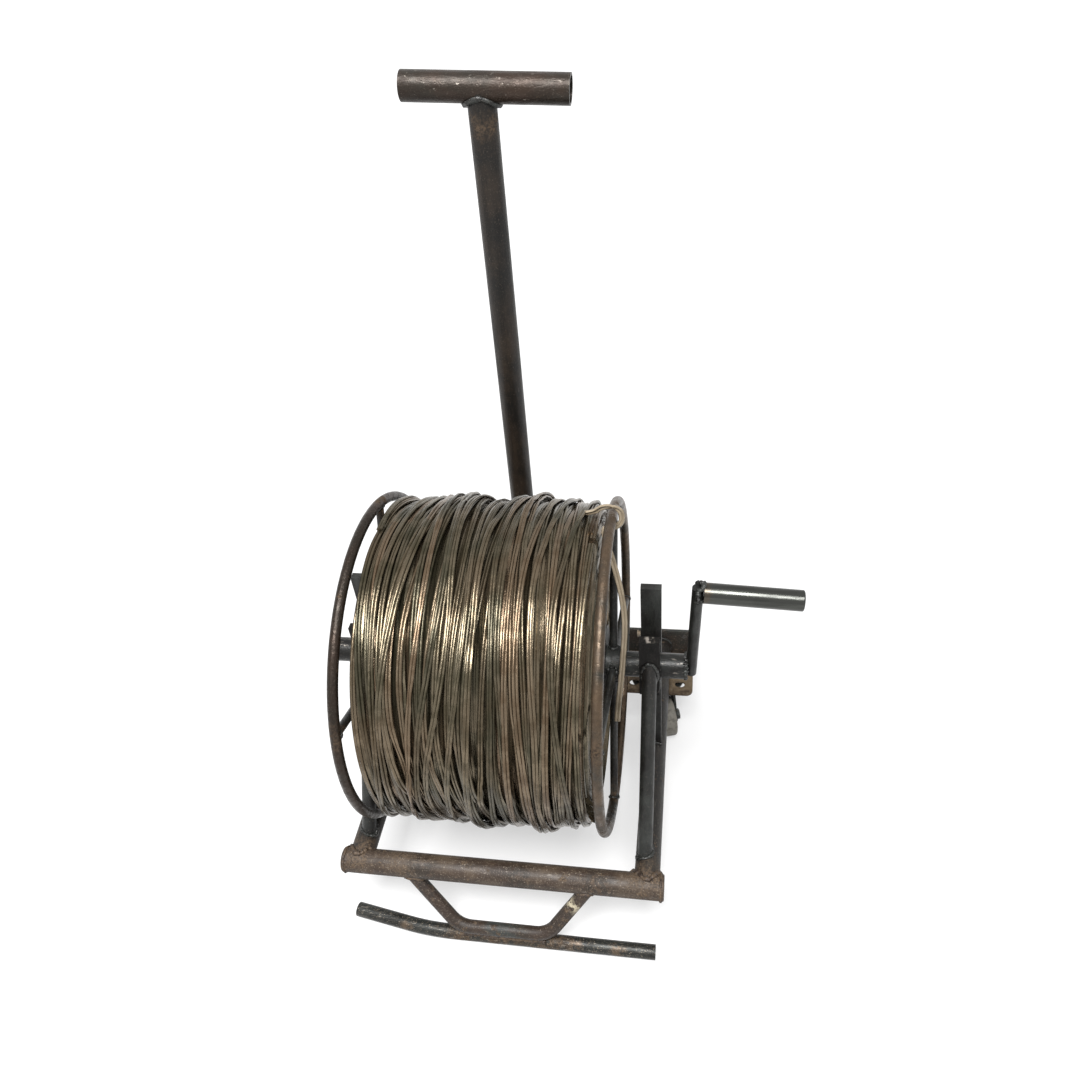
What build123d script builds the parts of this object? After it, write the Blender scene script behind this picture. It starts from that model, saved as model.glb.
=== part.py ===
"""A hand-cranked cable reel: an open drum of steel bar, wound with twin-core cable, in a tube frame.

+Z is up, +X runs along the drum's axle towards the crank, and +Y points from the foot at the front
to the casters and the T handle at the back. Sizes are in millimetres. The pieces are drawn about the
middle of the drum, on its axle. Last, all are moved together, so that the origin lies on the floor
under the middle of the reel's box.
"""

import os
from math import cos, pi, radians, sin, tan

from build123d import *

# Gaps between pieces
WELD_GAP = 0.2
RUNNING_GAP = 0.3
BUSH_GAP = 0.06

# Drum flanges, each a ring of round bar on four spokes
RING_RADIUS = 163.5
RING_BAR = 10.0
FLANGE_SPACING = 232.0
SPOKE_BAR = 8.0
SPOKES = 4
SPOKE_TURN = 20.0
HUB_OD = 36.0
HUB_LENGTH = 14.0

# Core that carries the cable
CORE_OD = 76.2
CORE_WALL = 2.0
CORE_END_PLATE = 3.0

# Wound cable: how far it stays from each flange, and the height of its turns, from the plain end
# to the crank end
WINDING_GAP_LEFT = 12.0
WINDING_GAP_RIGHT = 12.0
WINDING_EDGE = 5.0
WINDING_SHOULDER = 150.0
WINDING_RADII = [158.0, 163.0, 162.0, 164.5, 159.5, 162.5, 163.5, 164.0, 160.0]

# Axle, a solid bar
AXLE_OD = 25.4
AXLE_LEFT_END = -177.0
AXLE_RIGHT_END = 187.5

# Crank
ARM_BAR = 11.0
ARM_BELOW = 8.0
ARM_LENGTH = 108.0
ARM_LEAN = 2.0
CRANK_GRIP_OD = 20.0
CRANK_GRIP_EDGE = 1.5
CRANK_GRIP_LENGTH = 90.0
CRANK_GRIP_DROOP = 3.3
CRANK_GRIP_DROP = 6.0

# Frame of round tube
TUBE_OD = 25.4
TUBE_WALL = 2.0
AXLE_HEIGHT = 237.0
RAIL_DROP = 155.0
RAIL_RIGHT = 156.0
RAIL_LEFT = -140.0
CROSSBAR_FRONT = -152.0
CROSSBAR_OVERHANG = 14.0
CROSSBAR_CAP = 3.0
CAP_CROWN = 1.2

# Angle bar across the back
ANGLE_CLEARANCE = 4.8
ANGLE_LEG_UP = 38.0
ANGLE_LEG_BACK = 32.0
ANGLE_THICKNESS = 4.0
ANGLE_OVERHANG = 40.0
ANGLE_HOLE = 6.0
ANGLE_HOLE_FROM_TOP = 9.0
ANGLE_HOLE_FROM_END = 11.0

# Open forks that hold the axle, with their struts
FORK_WIDTH = 20.0
FORK_THICKNESS = 8.0
FORK_INSET = 3.0
REAR_FLAT_TOP = 91.0
FRONT_FLAT_TOP = 54.0
SEAT_DEPTH = 8.0
STRUT_BAR = 14.5
STRUT_FOOT_FRONT = -128.0
STRUT_TOP = 11.0

# T handle
SHAFT_FOOT_X = -6.3
SHAFT_TOP_X = 4.0
HANDLE_HEIGHT = 494.0
GRIP_LENGTH = 145.0
GRIP_SHIFT = 4.0
GRIP_TILT = 3.9

# Front foot: a bent leg under the crossbar, standing on a loose-bent bar
LEG_BAR = 14.0
LEG_SET_OUT = 29.0
LEG_LEFT_TOP = -92.0
LEG_RIGHT_TOP = 104.0
LEG_LEFT_FOOT = -36.0
LEG_RIGHT_FOOT = 57.0
LEG_BEND = 26.0
FOOT_BAR = 15.0
FOOT_LEFT = -153.0
FOOT_RIGHT = 166.0
FOOT_BEND_AT = -70.0
FOOT_BENT_BACK = 14.0
FOOT_BEND = 300.0

# Casters
WHEEL_OD = 50.0
WHEEL_WIDTH = 20.0
WHEEL_HUB_OD = 17.0
WHEEL_HUB_WIDTH = 22.0
WHEEL_EDGE = 3.0
WHEEL_RIM = 7.0
WHEEL_DISH = 2.0
PLATE_WIDTH = 86.0
PLATE_DEPTH = 72.0
PLATE_THICKNESS = 2.5
PLATE_CORNER = 8.0
PLATE_SLOT_LENGTH = 12.0
PLATE_SLOT_WIDTH = 9.0
PLATE_SLOT_ACROSS = 55.0
PLATE_SLOT_ALONG = 40.0
PLATE_FROM_ANGLE = 67.3
PLATE_SHIFT = -2.3
RACE_OD = 40.0
RACE_DEPTH = 3.0
KINGPIN_OD = 10.0
KINGPIN_HEAD_OD = 16.0
KINGPIN_HEAD = 2.5
CROWN_OD = 66.0
CROWN_THICKNESS = 2.5
SKIRT_OD = 57.0
SKIRT_DEPTH = 5.0
SKIRT_THICKNESS = 2.0
CHEEK_THICKNESS = 2.5
CHEEK_BOSS = 9.0
TRAIL = 36.0
WHEEL_PIN_OD = 8.0
WHEEL_PIN_HEAD_OD = 13.0
WHEEL_PIN_HEAD = 4.0
CASTER_TURN_RIGHT = 17.0
CASTER_TURN_LEFT = -9.0

# Loose end of the cable, hitched round the crank-side ring and hanging outside the drum
CABLE_OD = 6.0
TAIL_POINTS = [
    (91.0, 41.5, 160.8),
    (100.0, 40.9, 161.7),
    (107.4, 38.9, 167.8),
    (124.6, 38.0, 167.4),
    (124.6, 34.6, 151.0),
    (107.8, 30.4, 151.8),
    (110.8, 26.5, 138.0),
    (117.0, 20.0, 121.0),
    (125.8, 6.0, 92.0),
    (129.5, -6.0, 66.0),
    (127.8, -17.0, 32.0),
    (125.0, -26.0, -2.0),
    (121.8, -32.0, -32.0),
    (120.8, -34.0, -49.0),
]

# Places that follow from the sizes above
half_flange = FLANGE_SPACING / 2
winding_left = -half_flange + WINDING_GAP_LEFT
winding_right = half_flange - WINDING_GAP_RIGHT
axle_radius = AXLE_OD / 2
tube_radius = TUBE_OD / 2
floor = -AXLE_HEIGHT
rail_bottom = -RAIL_DROP - tube_radius
crossbar_left = RAIL_LEFT - CROSSBAR_OVERHANG
crossbar_right = RAIL_RIGHT + CROSSBAR_OVERHANG
fork_right = RAIL_RIGHT - FORK_INSET
fork_left = RAIL_LEFT + FORK_INSET
fork_inner = axle_radius + RUNNING_GAP + WELD_GAP
fork_outer = fork_inner + FORK_THICKNESS
angle_front = RING_RADIUS + RING_BAR / 2 + ANGLE_CLEARANCE
angle_back = angle_front + ANGLE_THICKNESS
shaft_y = angle_back + WELD_GAP + tube_radius
arm_x = AXLE_RIGHT_END + WELD_GAP + ARM_BAR / 2
plate_top = rail_bottom - WELD_GAP
caster_y = angle_front - PLATE_FROM_ANGLE + PLATE_DEPTH / 2
caster_right = RAIL_RIGHT + PLATE_SHIFT
caster_left = RAIL_LEFT + PLATE_SHIFT
crown_top = plate_top - PLATE_THICKNESS - RACE_DEPTH - RUNNING_GAP
wheel_z = floor + WHEEL_OD / 2


def rod(start, end, diameter):
    """A round bar from one point to another."""
    line = Vector(*end) - Vector(*start)
    return extrude(Plane(origin=start, z_dir=line) * Circle(diameter / 2), line.length)


def tube(start, end, outside, wall):
    """A round tube with open ends."""
    return rod(start, end, outside) - rod(start, end, outside - 2 * wall)


def block(low, high):
    """A box between two corners."""
    size = [high[i] - low[i] for i in range(3)]
    middle = [(high[i] + low[i]) / 2 for i in range(3)]
    return Pos(*middle) * Box(*size)


def bent_rod(points, radius, diameter):
    """A round bar along straight runs joined by arcs."""
    path = FilletPolyline(*points, radius=radius)
    return sweep(Plane(origin=path @ 0, z_dir=path % 0) * Circle(diameter / 2), path=path)


def crossbar_line(diameter):
    """The line of the front crossbar, past both rails, as a bar of the given diameter."""
    left = (crossbar_left, CROSSBAR_FRONT, -RAIL_DROP)
    right = (crossbar_right, CROSSBAR_FRONT, -RAIL_DROP)
    return rod(left, right, diameter)


def rail_line(x, diameter):
    """The line of a side rail as a bar of the given diameter."""
    back = angle_front - WELD_GAP
    return rod((x, CROSSBAR_FRONT, -RAIL_DROP), (x, back, -RAIL_DROP), diameter)


def front_crossbar():
    return crossbar_line(TUBE_OD) - crossbar_line(TUBE_OD - 2 * TUBE_WALL)


def crossbar_cap(end_x, outward):
    """A round plate welded over one end of the crossbar, with its rim ground round."""
    cap = Cylinder(tube_radius, CROSSBAR_CAP)
    cap = fillet(cap.edges().filter_by(GeomType.CIRCLE).sort_by(Axis.Z)[-1], CAP_CROWN)
    middle = end_x + outward * (WELD_GAP + CROSSBAR_CAP / 2)
    return Pos(middle, CROSSBAR_FRONT, -RAIL_DROP) * Rot(0, outward * 90, 0) * cap


def rail(x):
    """A side rail, its front end shaped to the crossbar that it is welded to."""
    hollow = rail_line(x, TUBE_OD) - rail_line(x, TUBE_OD - 2 * TUBE_WALL)
    return hollow - crossbar_line(TUBE_OD + 2 * WELD_GAP)


def rear_crossbar():
    """Angle bar: one leg stands against the rails' ends, the other runs back under the handle."""
    left = RAIL_LEFT - ANGLE_OVERHANG
    right = RAIL_RIGHT + ANGLE_OVERHANG
    top = rail_bottom + ANGLE_LEG_UP
    upright = block((left, angle_front, rail_bottom), (right, angle_back, top))
    back_edge = angle_front + ANGLE_LEG_BACK
    ledge = block((left, angle_front, rail_bottom), (right, back_edge, rail_bottom + ANGLE_THICKNESS))
    angle = upright + ledge
    for x in (left + ANGLE_HOLE_FROM_END, right - ANGLE_HOLE_FROM_END):
        z = top - ANGLE_HOLE_FROM_TOP
        angle -= rod((x, angle_front - 1, z), (x, angle_back + 1, z), ANGLE_HOLE)
    return angle


def fork_rear(x):
    """The tall flat behind the axle, notched to stand on its rail."""
    half = FORK_WIDTH / 2
    flat = block((x - half, fork_inner, -RAIL_DROP), (x + half, fork_outer, REAR_FLAT_TOP))
    rail_x = RAIL_RIGHT if x > 0 else RAIL_LEFT
    return flat - rail_line(rail_x, TUBE_OD + 2 * WELD_GAP)


def fork_front(x):
    """The short flat in front of the axle."""
    half = FORK_WIDTH / 2
    bottom = -axle_radius - RUNNING_GAP - SEAT_DEPTH
    return block((x - half, -fork_outer, bottom), (x + half, -fork_inner, FRONT_FLAT_TOP))


def axle_seat(x):
    """The half-round seat between the two flats, which the axle turns in."""
    half = FORK_WIDTH / 2
    side = fork_inner - WELD_GAP
    bottom = -axle_radius - RUNNING_GAP - SEAT_DEPTH
    seat = block((x - half, -side, bottom), (x + half, side, 0))
    return seat - rod((x - FORK_WIDTH, 0, 0), (x + FORK_WIDTH, 0, 0), AXLE_OD + 2 * RUNNING_GAP)


def strut(x):
    """A round strut from the rail to the front flat, cut to fit both."""
    foot = Vector(x, STRUT_FOOT_FRONT, -RAIL_DROP)
    head = Vector(x, -fork_outer, STRUT_TOP)
    reach = (head - foot).normalized() * STRUT_BAR * 2
    bar = rod(tuple(foot), tuple(head + reach), STRUT_BAR)
    face = -fork_outer - WELD_GAP
    bar -= block((x - 50, face, -50), (x + 50, face + 100, 150))
    rail_x = RAIL_RIGHT if x > 0 else RAIL_LEFT
    bar -= rail_line(rail_x, TUBE_OD + 2 * WELD_GAP)
    pieces = bar.solids().sort_by(Axis.Z)
    return pieces[-1]


def grip_ends():
    middle = Vector(SHAFT_TOP_X + GRIP_SHIFT, shaft_y, HANDLE_HEIGHT)
    along = Vector(cos(radians(GRIP_TILT)), 0, -sin(radians(GRIP_TILT))) * (GRIP_LENGTH / 2)
    return tuple(middle - along), tuple(middle + along)


def handle_grip():
    """The cross tube of the T handle, open at both ends."""
    left, right = grip_ends()
    return tube(left, right, TUBE_OD, TUBE_WALL)


def handle_shaft():
    """The upright tube of the T handle, shaped to the cross tube at its top."""
    foot = (SHAFT_FOOT_X, shaft_y, rail_bottom + ANGLE_THICKNESS + WELD_GAP)
    top = (SHAFT_TOP_X, shaft_y, HANDLE_HEIGHT)
    left, right = grip_ends()
    shaft = tube(foot, top, TUBE_OD, TUBE_WALL) - rod(left, right, TUBE_OD + 2 * WELD_GAP)
    return shaft.solids().sort_by(SortBy.VOLUME)[-1]


def foot_bar():
    """The bar that the reel stands on in front, bent back a little at its plain end."""
    y = CROSSBAR_FRONT - LEG_SET_OUT
    z = floor + FOOT_BAR / 2
    points = [(FOOT_LEFT, y + FOOT_BENT_BACK, z), (FOOT_BEND_AT, y, z), (FOOT_RIGHT, y, z)]
    return bent_rod(points, FOOT_BEND, FOOT_BAR)


def foot_leg():
    """The bent bar that carries the crossbar on the foot bar."""
    y = CROSSBAR_FRONT - LEG_SET_OUT
    z = floor + FOOT_BAR + WELD_GAP + LEG_BAR / 2
    points = [
        (LEG_LEFT_TOP, CROSSBAR_FRONT, -RAIL_DROP),
        (LEG_LEFT_FOOT, y, z),
        (LEG_RIGHT_FOOT, y, z),
        (LEG_RIGHT_TOP, CROSSBAR_FRONT, -RAIL_DROP),
    ]
    leg = bent_rod(points, LEG_BEND, LEG_BAR) - crossbar_line(TUBE_OD + 2 * WELD_GAP)
    return leg.solids().sort_by(SortBy.VOLUME)[-1]


def axle():
    return rod((AXLE_LEFT_END, 0, 0), (AXLE_RIGHT_END, 0, 0), AXLE_OD)


def hub(x):
    """The collar on the axle that a flange's spokes are welded to."""
    low = (x - HUB_LENGTH / 2, 0, 0)
    high = (x + HUB_LENGTH / 2, 0, 0)
    return rod(low, high, HUB_OD) - rod(low, high, AXLE_OD + 2 * BUSH_GAP)


def ring(x, bar):
    return Pos(x, 0, 0) * Rot(0, 90, 0) * Torus(RING_RADIUS, bar / 2)


def spoke(x, number):
    """One spoke, its outer end shaped to the ring and its inner end to the hub."""
    angle = radians(90 - SPOKE_TURN + number * 360 / SPOKES)
    tip = (x, RING_RADIUS * cos(angle), RING_RADIUS * sin(angle))
    root = (x, HUB_OD / 4 * cos(angle), HUB_OD / 4 * sin(angle))
    bar = rod(root, tip, SPOKE_BAR) - ring(x, RING_BAR + 2 * WELD_GAP)
    bar -= rod((x - HUB_LENGTH, 0, 0), (x + HUB_LENGTH, 0, 0), HUB_OD + 2 * WELD_GAP)
    return bar.solids().sort_by(SortBy.VOLUME)[-1]


def drum_core():
    """The tube that the cable is wound on, with an end plate on the axle at each end."""
    half = half_flange - HUB_LENGTH / 2 - WELD_GAP
    core = tube((-half, 0, 0), (half, 0, 0), CORE_OD, CORE_WALL)
    for inner, outer in ((-half, -half + CORE_END_PLATE), (half - CORE_END_PLATE, half)):
        plate = rod((inner, 0, 0), (outer, 0, 0), CORE_OD)
        core += plate - rod((inner, 0, 0), (outer, 0, 0), AXLE_OD + 2 * BUSH_GAP)
    return core


def cable_winding():
    """All the turns of the cable as one turned body, with the humps that its layers leave."""
    bore = CORE_OD / 2 + WELD_GAP
    left = Vector(winding_left, WINDING_SHOULDER, 0)
    right = Vector(winding_right, WINDING_SHOULDER, 0)
    step = (winding_right - winding_left - 2 * WINDING_EDGE) / (len(WINDING_RADII) - 1)
    crests = [(winding_left + WINDING_EDGE + i * step, r) for i, r in enumerate(WINDING_RADII)]
    humps = Spline(left, *crests, right)
    sides = Polyline(right, (winding_right, bore), (winding_left, bore), left)
    return revolve(make_face(humps + sides), Axis.X)


def tail_radii():
    """The largest arc that each corner of the loose end has room for."""
    radii = []
    for before, corner, after in zip(TAIL_POINTS, TAIL_POINTS[1:], TAIL_POINTS[2:]):
        run_in = Vector(*corner) - Vector(*before)
        run_out = Vector(*after) - Vector(*corner)
        half_turn = radians(run_in.get_angle(run_out) / 2)
        radii.append(0.45 * min(run_in.length, run_out.length) / tan(half_turn))
    return radii


def cable_tail():
    return bent_rod(TAIL_POINTS, tail_radii(), CABLE_OD)


def crank_grip_ends():
    lean = radians(ARM_LEAN)
    droop = radians(CRANK_GRIP_DROOP)
    height = ARM_LENGTH - CRANK_GRIP_DROP
    start = Vector(arm_x + height * sin(lean), 0, height * cos(lean))
    along = Vector(cos(droop), 0, -sin(droop))
    near = start + along * (ARM_BAR / 2 + WELD_GAP)
    return tuple(near), tuple(near + along * CRANK_GRIP_LENGTH)


def crank_arm():
    """The bar across the axle's end that carries the crank's grip."""
    lean = radians(ARM_LEAN)
    up = Vector(sin(lean), 0, cos(lean))
    foot = Vector(arm_x, 0, 0) - up * ARM_BELOW
    arm = rod(tuple(foot), tuple(Vector(arm_x, 0, 0) + up * ARM_LENGTH), ARM_BAR)
    near, far = crank_grip_ends()
    arm -= rod(near, far, CRANK_GRIP_OD + 2 * WELD_GAP)
    arm -= rod((0, 0, 0), (AXLE_RIGHT_END + WELD_GAP, 0, 0), AXLE_OD)
    return arm.solids().sort_by(SortBy.VOLUME)[-1]


def crank_grip():
    """A solid bar with its free end's rim ground round."""
    near, far = crank_grip_ends()
    bar = rod(near, far, CRANK_GRIP_OD)
    rim = bar.edges().filter_by(GeomType.CIRCLE).sort_by(Axis.X)[-1]
    return fillet(rim, CRANK_GRIP_EDGE)


def caster_plate(x):
    """The caster's top plate with its four slots and the upper race of its swivel."""
    outline = RectangleRounded(PLATE_WIDTH, PLATE_DEPTH, PLATE_CORNER)
    for side in (-1, 1):
        for end in (-1, 1):
            slot = SlotOverall(PLATE_SLOT_LENGTH, PLATE_SLOT_WIDTH)
            outline -= Pos(side * PLATE_SLOT_ACROSS / 2, end * PLATE_SLOT_ALONG / 2) * slot
    plate = extrude(outline, PLATE_THICKNESS)
    plate += Pos(0, 0, -RACE_DEPTH / 2) * Cone(RACE_OD / 2 - RACE_DEPTH, RACE_OD / 2, RACE_DEPTH)
    plate -= Cylinder(KINGPIN_OD / 2 + BUSH_GAP, 40)
    return Pos(x, caster_y, plate_top - PLATE_THICKNESS) * plate


def kingpin(x):
    """The rivet that the caster swivels on, headed under the fork's crown."""
    top = plate_top - PLATE_THICKNESS / 2
    head_top = crown_top - CROWN_THICKNESS - RUNNING_GAP
    pin = rod((x, caster_y, top), (x, caster_y, head_top), KINGPIN_OD)
    head = rod((x, caster_y, head_top), (x, caster_y, head_top - KINGPIN_HEAD), KINGPIN_HEAD_OD)
    return pin + head


def turned(x, turn, piece):
    """A caster piece, drawn with the wheel in front of the king pin, at its place and turn."""
    return Pos(x, caster_y, 0) * Rot(0, 0, turn) * piece


def caster_fork():
    """The pressed fork: a crown under the top plate and two cheeks that reach to the wheel's pin."""
    crown = Pos(0, 0, crown_top - CROWN_THICKNESS / 2) * Cylinder(CROWN_OD / 2, CROWN_THICKNESS)
    inner = WHEEL_HUB_WIDTH / 2 + RUNNING_GAP
    outer = inner + CHEEK_THICKNESS
    top = crown_top - CROWN_THICKNESS
    half_top = (CROWN_OD ** 2 / 4 - outer ** 2) ** 0.5
    skirt = Cone(SKIRT_OD / 2, CROWN_OD / 2, SKIRT_DEPTH)
    skirt -= Cone(SKIRT_OD / 2 - SKIRT_THICKNESS, CROWN_OD / 2 - SKIRT_THICKNESS, SKIRT_DEPTH)
    fork = crown + Pos(0, 0, top - SKIRT_DEPTH / 2) * skirt
    for side in (-1, 1):
        # The cheek is drawn in the plane of the wheel: first how far forward, then how high.
        web = Polyline(
            (-half_top, top),
            (half_top, top),
            (half_top, top - CHEEK_THICKNESS),
            (-TRAIL + CHEEK_BOSS * 0.5, wheel_z - CHEEK_BOSS * 0.86),
            (-TRAIL, wheel_z),
            (-TRAIL - CHEEK_BOSS * 0.97, wheel_z + CHEEK_BOSS * 0.25),
            (-half_top, top),
        )
        shape = make_face(web) + Pos(-TRAIL, wheel_z) * Circle(CHEEK_BOSS)
        start = inner if side > 0 else -outer
        wheel_plane = Plane(origin=(start, 0, 0), x_dir=(0, 1, 0), z_dir=(1, 0, 0))
        fork += wheel_plane * extrude(shape, CHEEK_THICKNESS)
    fork -= Pos(0, 0, crown_top) * Cylinder(KINGPIN_OD / 2 + BUSH_GAP, 20)
    reach = outer + 5
    fork -= rod((-reach, -TRAIL, wheel_z), (reach, -TRAIL, wheel_z), WHEEL_PIN_OD + 2 * BUSH_GAP)
    return fork


def caster_pin():
    """The wheel's pin: a bolt through both cheeks, with its head and its nut."""
    outer = WHEEL_HUB_WIDTH / 2 + RUNNING_GAP + CHEEK_THICKNESS + BUSH_GAP
    pin = rod((-outer, -TRAIL, wheel_z), (outer, -TRAIL, wheel_z), WHEEL_PIN_OD)
    for side in (-1, 1):
        face = Plane(origin=(side * outer, -TRAIL, wheel_z), z_dir=(side, 0, 0))
        pin += extrude(face * RegularPolygon(WHEEL_PIN_HEAD_OD / 2, 6), WHEEL_PIN_HEAD)
    return pin


def caster_wheel():
    """A solid wheel with a rounded tread and raised hub faces."""
    half = WHEEL_WIDTH / 2
    tread = Rot(0, 90, 0) * Cylinder(WHEEL_OD / 2, WHEEL_WIDTH)
    tread = fillet(tread.edges().filter_by(GeomType.CIRCLE), WHEEL_EDGE)
    hub_part = Rot(0, 90, 0) * Cylinder(WHEEL_HUB_OD / 2, WHEEL_HUB_WIDTH)
    for side in (-1, 1):
        dish = Cylinder(WHEEL_OD / 2 - WHEEL_RIM, 2 * WHEEL_DISH) - Cylinder(WHEEL_HUB_OD / 2, 3 * WHEEL_DISH)
        tread -= Pos(side * half, 0, 0) * Rot(0, 90, 0) * dish
    wheel = tread + hub_part
    wheel -= Rot(0, 90, 0) * Cylinder(WHEEL_PIN_OD / 2 + BUSH_GAP, WHEEL_HUB_WIDTH + 2)
    return Pos(0, -TRAIL, wheel_z) * wheel


def build():
    """Every piece by name, about the middle of the drum."""
    pieces = {
        "front_crossbar": front_crossbar(),
        "rear_crossbar": rear_crossbar(),
        "foot_leg": foot_leg(),
        "foot_bar": foot_bar(),
        "handle_shaft": handle_shaft(),
        "handle_grip": handle_grip(),
        "axle": axle(),
        "drum_core": drum_core(),
        "cable_winding": cable_winding(),
        "cable_tail": cable_tail(),
        "crank_arm": crank_arm(),
        "crank_grip": crank_grip(),
    }
    sides = (
        ("left", RAIL_LEFT, fork_left, caster_left, CASTER_TURN_LEFT, -half_flange),
        ("right", RAIL_RIGHT, fork_right, caster_right, CASTER_TURN_RIGHT, half_flange),
    )
    for side, rail_x, fork_x, caster_x, caster_turn, flange_x in sides:
        end_x = crossbar_left if side == "left" else crossbar_right
        pieces[f"crossbar_cap_{side}"] = crossbar_cap(end_x, -1 if side == "left" else 1)
        pieces[f"rail_{side}"] = rail(rail_x)
        pieces[f"fork_rear_{side}"] = fork_rear(fork_x)
        pieces[f"fork_front_{side}"] = fork_front(fork_x)
        pieces[f"axle_seat_{side}"] = axle_seat(fork_x)
        pieces[f"strut_{side}"] = strut(fork_x)
        pieces[f"caster_plate_{side}"] = caster_plate(caster_x)
        pieces[f"caster_kingpin_{side}"] = kingpin(caster_x)
        pieces[f"caster_fork_{side}"] = turned(caster_x, caster_turn, caster_fork())
        pieces[f"caster_pin_{side}"] = turned(caster_x, caster_turn, caster_pin())
        pieces[f"caster_wheel_{side}"] = turned(caster_x, caster_turn, caster_wheel())
        pieces[f"hub_{side}"] = hub(flange_x)
        pieces[f"flange_ring_{side}"] = ring(flange_x, RING_BAR)
        for number in range(SPOKES):
            pieces[f"spoke_{side}_{number + 1}"] = spoke(flange_x, number)
    return pieces


def floor_origin(pieces):
    """The point of the floor under the middle of the reel, without its loose cable end."""
    boxes = [piece.bounding_box() for name, piece in pieces.items() if name != "cable_tail"]
    middle_x = (min(b.min.X for b in boxes) + max(b.max.X for b in boxes)) / 2
    middle_y = (min(b.min.Y for b in boxes) + max(b.max.Y for b in boxes)) / 2
    return Vector(middle_x, middle_y, min(b.min.Z for b in boxes))


def main():
    os.makedirs("parts", exist_ok=True)
    pieces = build()
    origin = floor_origin(pieces)
    print("origin", [round(v, 3) for v in origin])
    print("arcs of the loose end", [round(r, 1) for r in tail_radii()])
    tail = pieces["cable_tail"].volume / (pi * CABLE_OD ** 2 / 4)
    print("length of the loose end", round(tail, 1))
    for name, piece in pieces.items():
        export_step(Pos(*(-origin)) * piece, f"parts/{name}.step")


main()
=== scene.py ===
import random
from math import atan, cos, exp, pi, radians, sin, sqrt

import bpy
from mathutils import Matrix, Vector


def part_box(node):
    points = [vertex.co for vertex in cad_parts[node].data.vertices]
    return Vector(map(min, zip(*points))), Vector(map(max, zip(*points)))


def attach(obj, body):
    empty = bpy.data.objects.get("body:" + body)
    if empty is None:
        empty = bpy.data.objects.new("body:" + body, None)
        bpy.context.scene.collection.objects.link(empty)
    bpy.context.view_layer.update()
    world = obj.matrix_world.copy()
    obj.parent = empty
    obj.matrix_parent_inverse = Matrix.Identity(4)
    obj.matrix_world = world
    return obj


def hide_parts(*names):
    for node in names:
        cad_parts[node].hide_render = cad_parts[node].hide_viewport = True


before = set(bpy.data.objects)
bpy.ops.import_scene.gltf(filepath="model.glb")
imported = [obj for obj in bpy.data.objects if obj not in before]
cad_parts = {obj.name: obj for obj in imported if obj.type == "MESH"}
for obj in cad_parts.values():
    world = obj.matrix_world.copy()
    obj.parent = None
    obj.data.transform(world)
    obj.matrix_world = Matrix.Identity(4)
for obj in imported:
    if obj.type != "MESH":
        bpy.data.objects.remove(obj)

bl_info = {
    "name": "Cable reel",
    "version": (1, 0, 0),
    "blender": (4, 5, 0),
    "location": "3D View > Sidebar > Cable Reel",
    "description": "Finishes, welds and wound cable for a hand-cranked cable reel",
    "category": "Mesh",
}

# The middle of the drum, on its axle, in metres. Sizes below are in millimetres about this point,
# unless a comment says otherwise.
axle_low, axle_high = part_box("axle")
ring_low, ring_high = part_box("flange_ring_left")[0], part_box("flange_ring_right")[1]
MIDDLE = Vector((
    (ring_low[0] + ring_high[0]) / 2,
    (axle_low[1] + axle_high[1]) / 2,
    (axle_low[2] + axle_high[2]) / 2,
))
SIDES = ("left", "right")

# Frame
TUBE = 12.7
RAIL_X = {"left": -140.0, "right": 156.0}
FORK_X = {"left": -137.0, "right": 153.0}
CROSSBAR_END = {"left": -154.0, "right": 170.0}
RAIL_Z = -155.0
CROSSBAR_Y = -152.0
ANGLE_Y = 173.3
FORK_INNER = 13.2
FORK_OUTER = 21.2
FORK_HALF = 10.0
FRONT_FLAT_TOP = 54.0
STRUT_RADIUS = 7.25
STRUT_FOOT_Y = -128.0
STRUT_TOP = 11.0
PLATE_Y = 142.0

# Tie wire: a coil of bright wire that narrows as it runs along the axle
TIE_WIRE = (139.5, 12.4, 31.0)
TIE_WIRE_COIL = 3.4
TIE_WIRE_SHRINK = 0.02
TIE_WIRE_PITCH = 0.055
TIE_WIRE_STEPS = 20
TIE_WIRE_POINTS = 52
TIE_WIRE_RADIUS = 0.55

# Handle
SHAFT_FOOT = (-6.3, 190.2, -163.5)
SHAFT_TOP = (4.0, 190.2, 494.0)
GRIP_TILT = 3.9

# Foot
LEG_RADIUS = 7.0
LEG_TOP = {"left": (-92.0, -152.0, -155.0), "right": (104.0, -152.0, -155.0)}
LEG_FOOT = {"left": (-36.0, -181.0, -214.8), "right": (57.0, -181.0, -214.8)}

# Drum
FLANGE_X = {"left": -116.0, "right": 116.0}
RING_RADIUS = 163.5
RING_BAR = 5.0
SPOKE_RADIUS = 4.0
SPOKE_TURN = 20.0
HUB_RADIUS = 18.0
HUB_HALF = 7.0
WINDING_ENDS = (-104.0, 104.0)
CORE_RADIUS = 38.1

# Crank
AXLE_END = 187.5
ARM_X = 193.2
ARM_RADIUS = 5.5
ARM_LEAN = 2.0
CRANK_GRIP_HEIGHT = 102.0
CRANK_GRIP_RADIUS = 10.0
CRANK_GRIP_DROOP = 3.3

# Outer layers of cable, from the lowest. Each has its direction along the drum, the pitch of its turns,
# how far they stray sideways, and how often one of them is pushed aside.
LAYERS = ((1, 6.25, 0.7, 0.05), (-1, 6.2, 1.0, 0.25), (1, 6.5, 1.6, 0.55), (-1, 15.0, 2.8, 0.7))
STEPS_AROUND = 120
HEIGHT_CELL = 0.5
END_ROOM = 0.3
SKIP_CHANCE = 0.16
SKIP = 2.2

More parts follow.
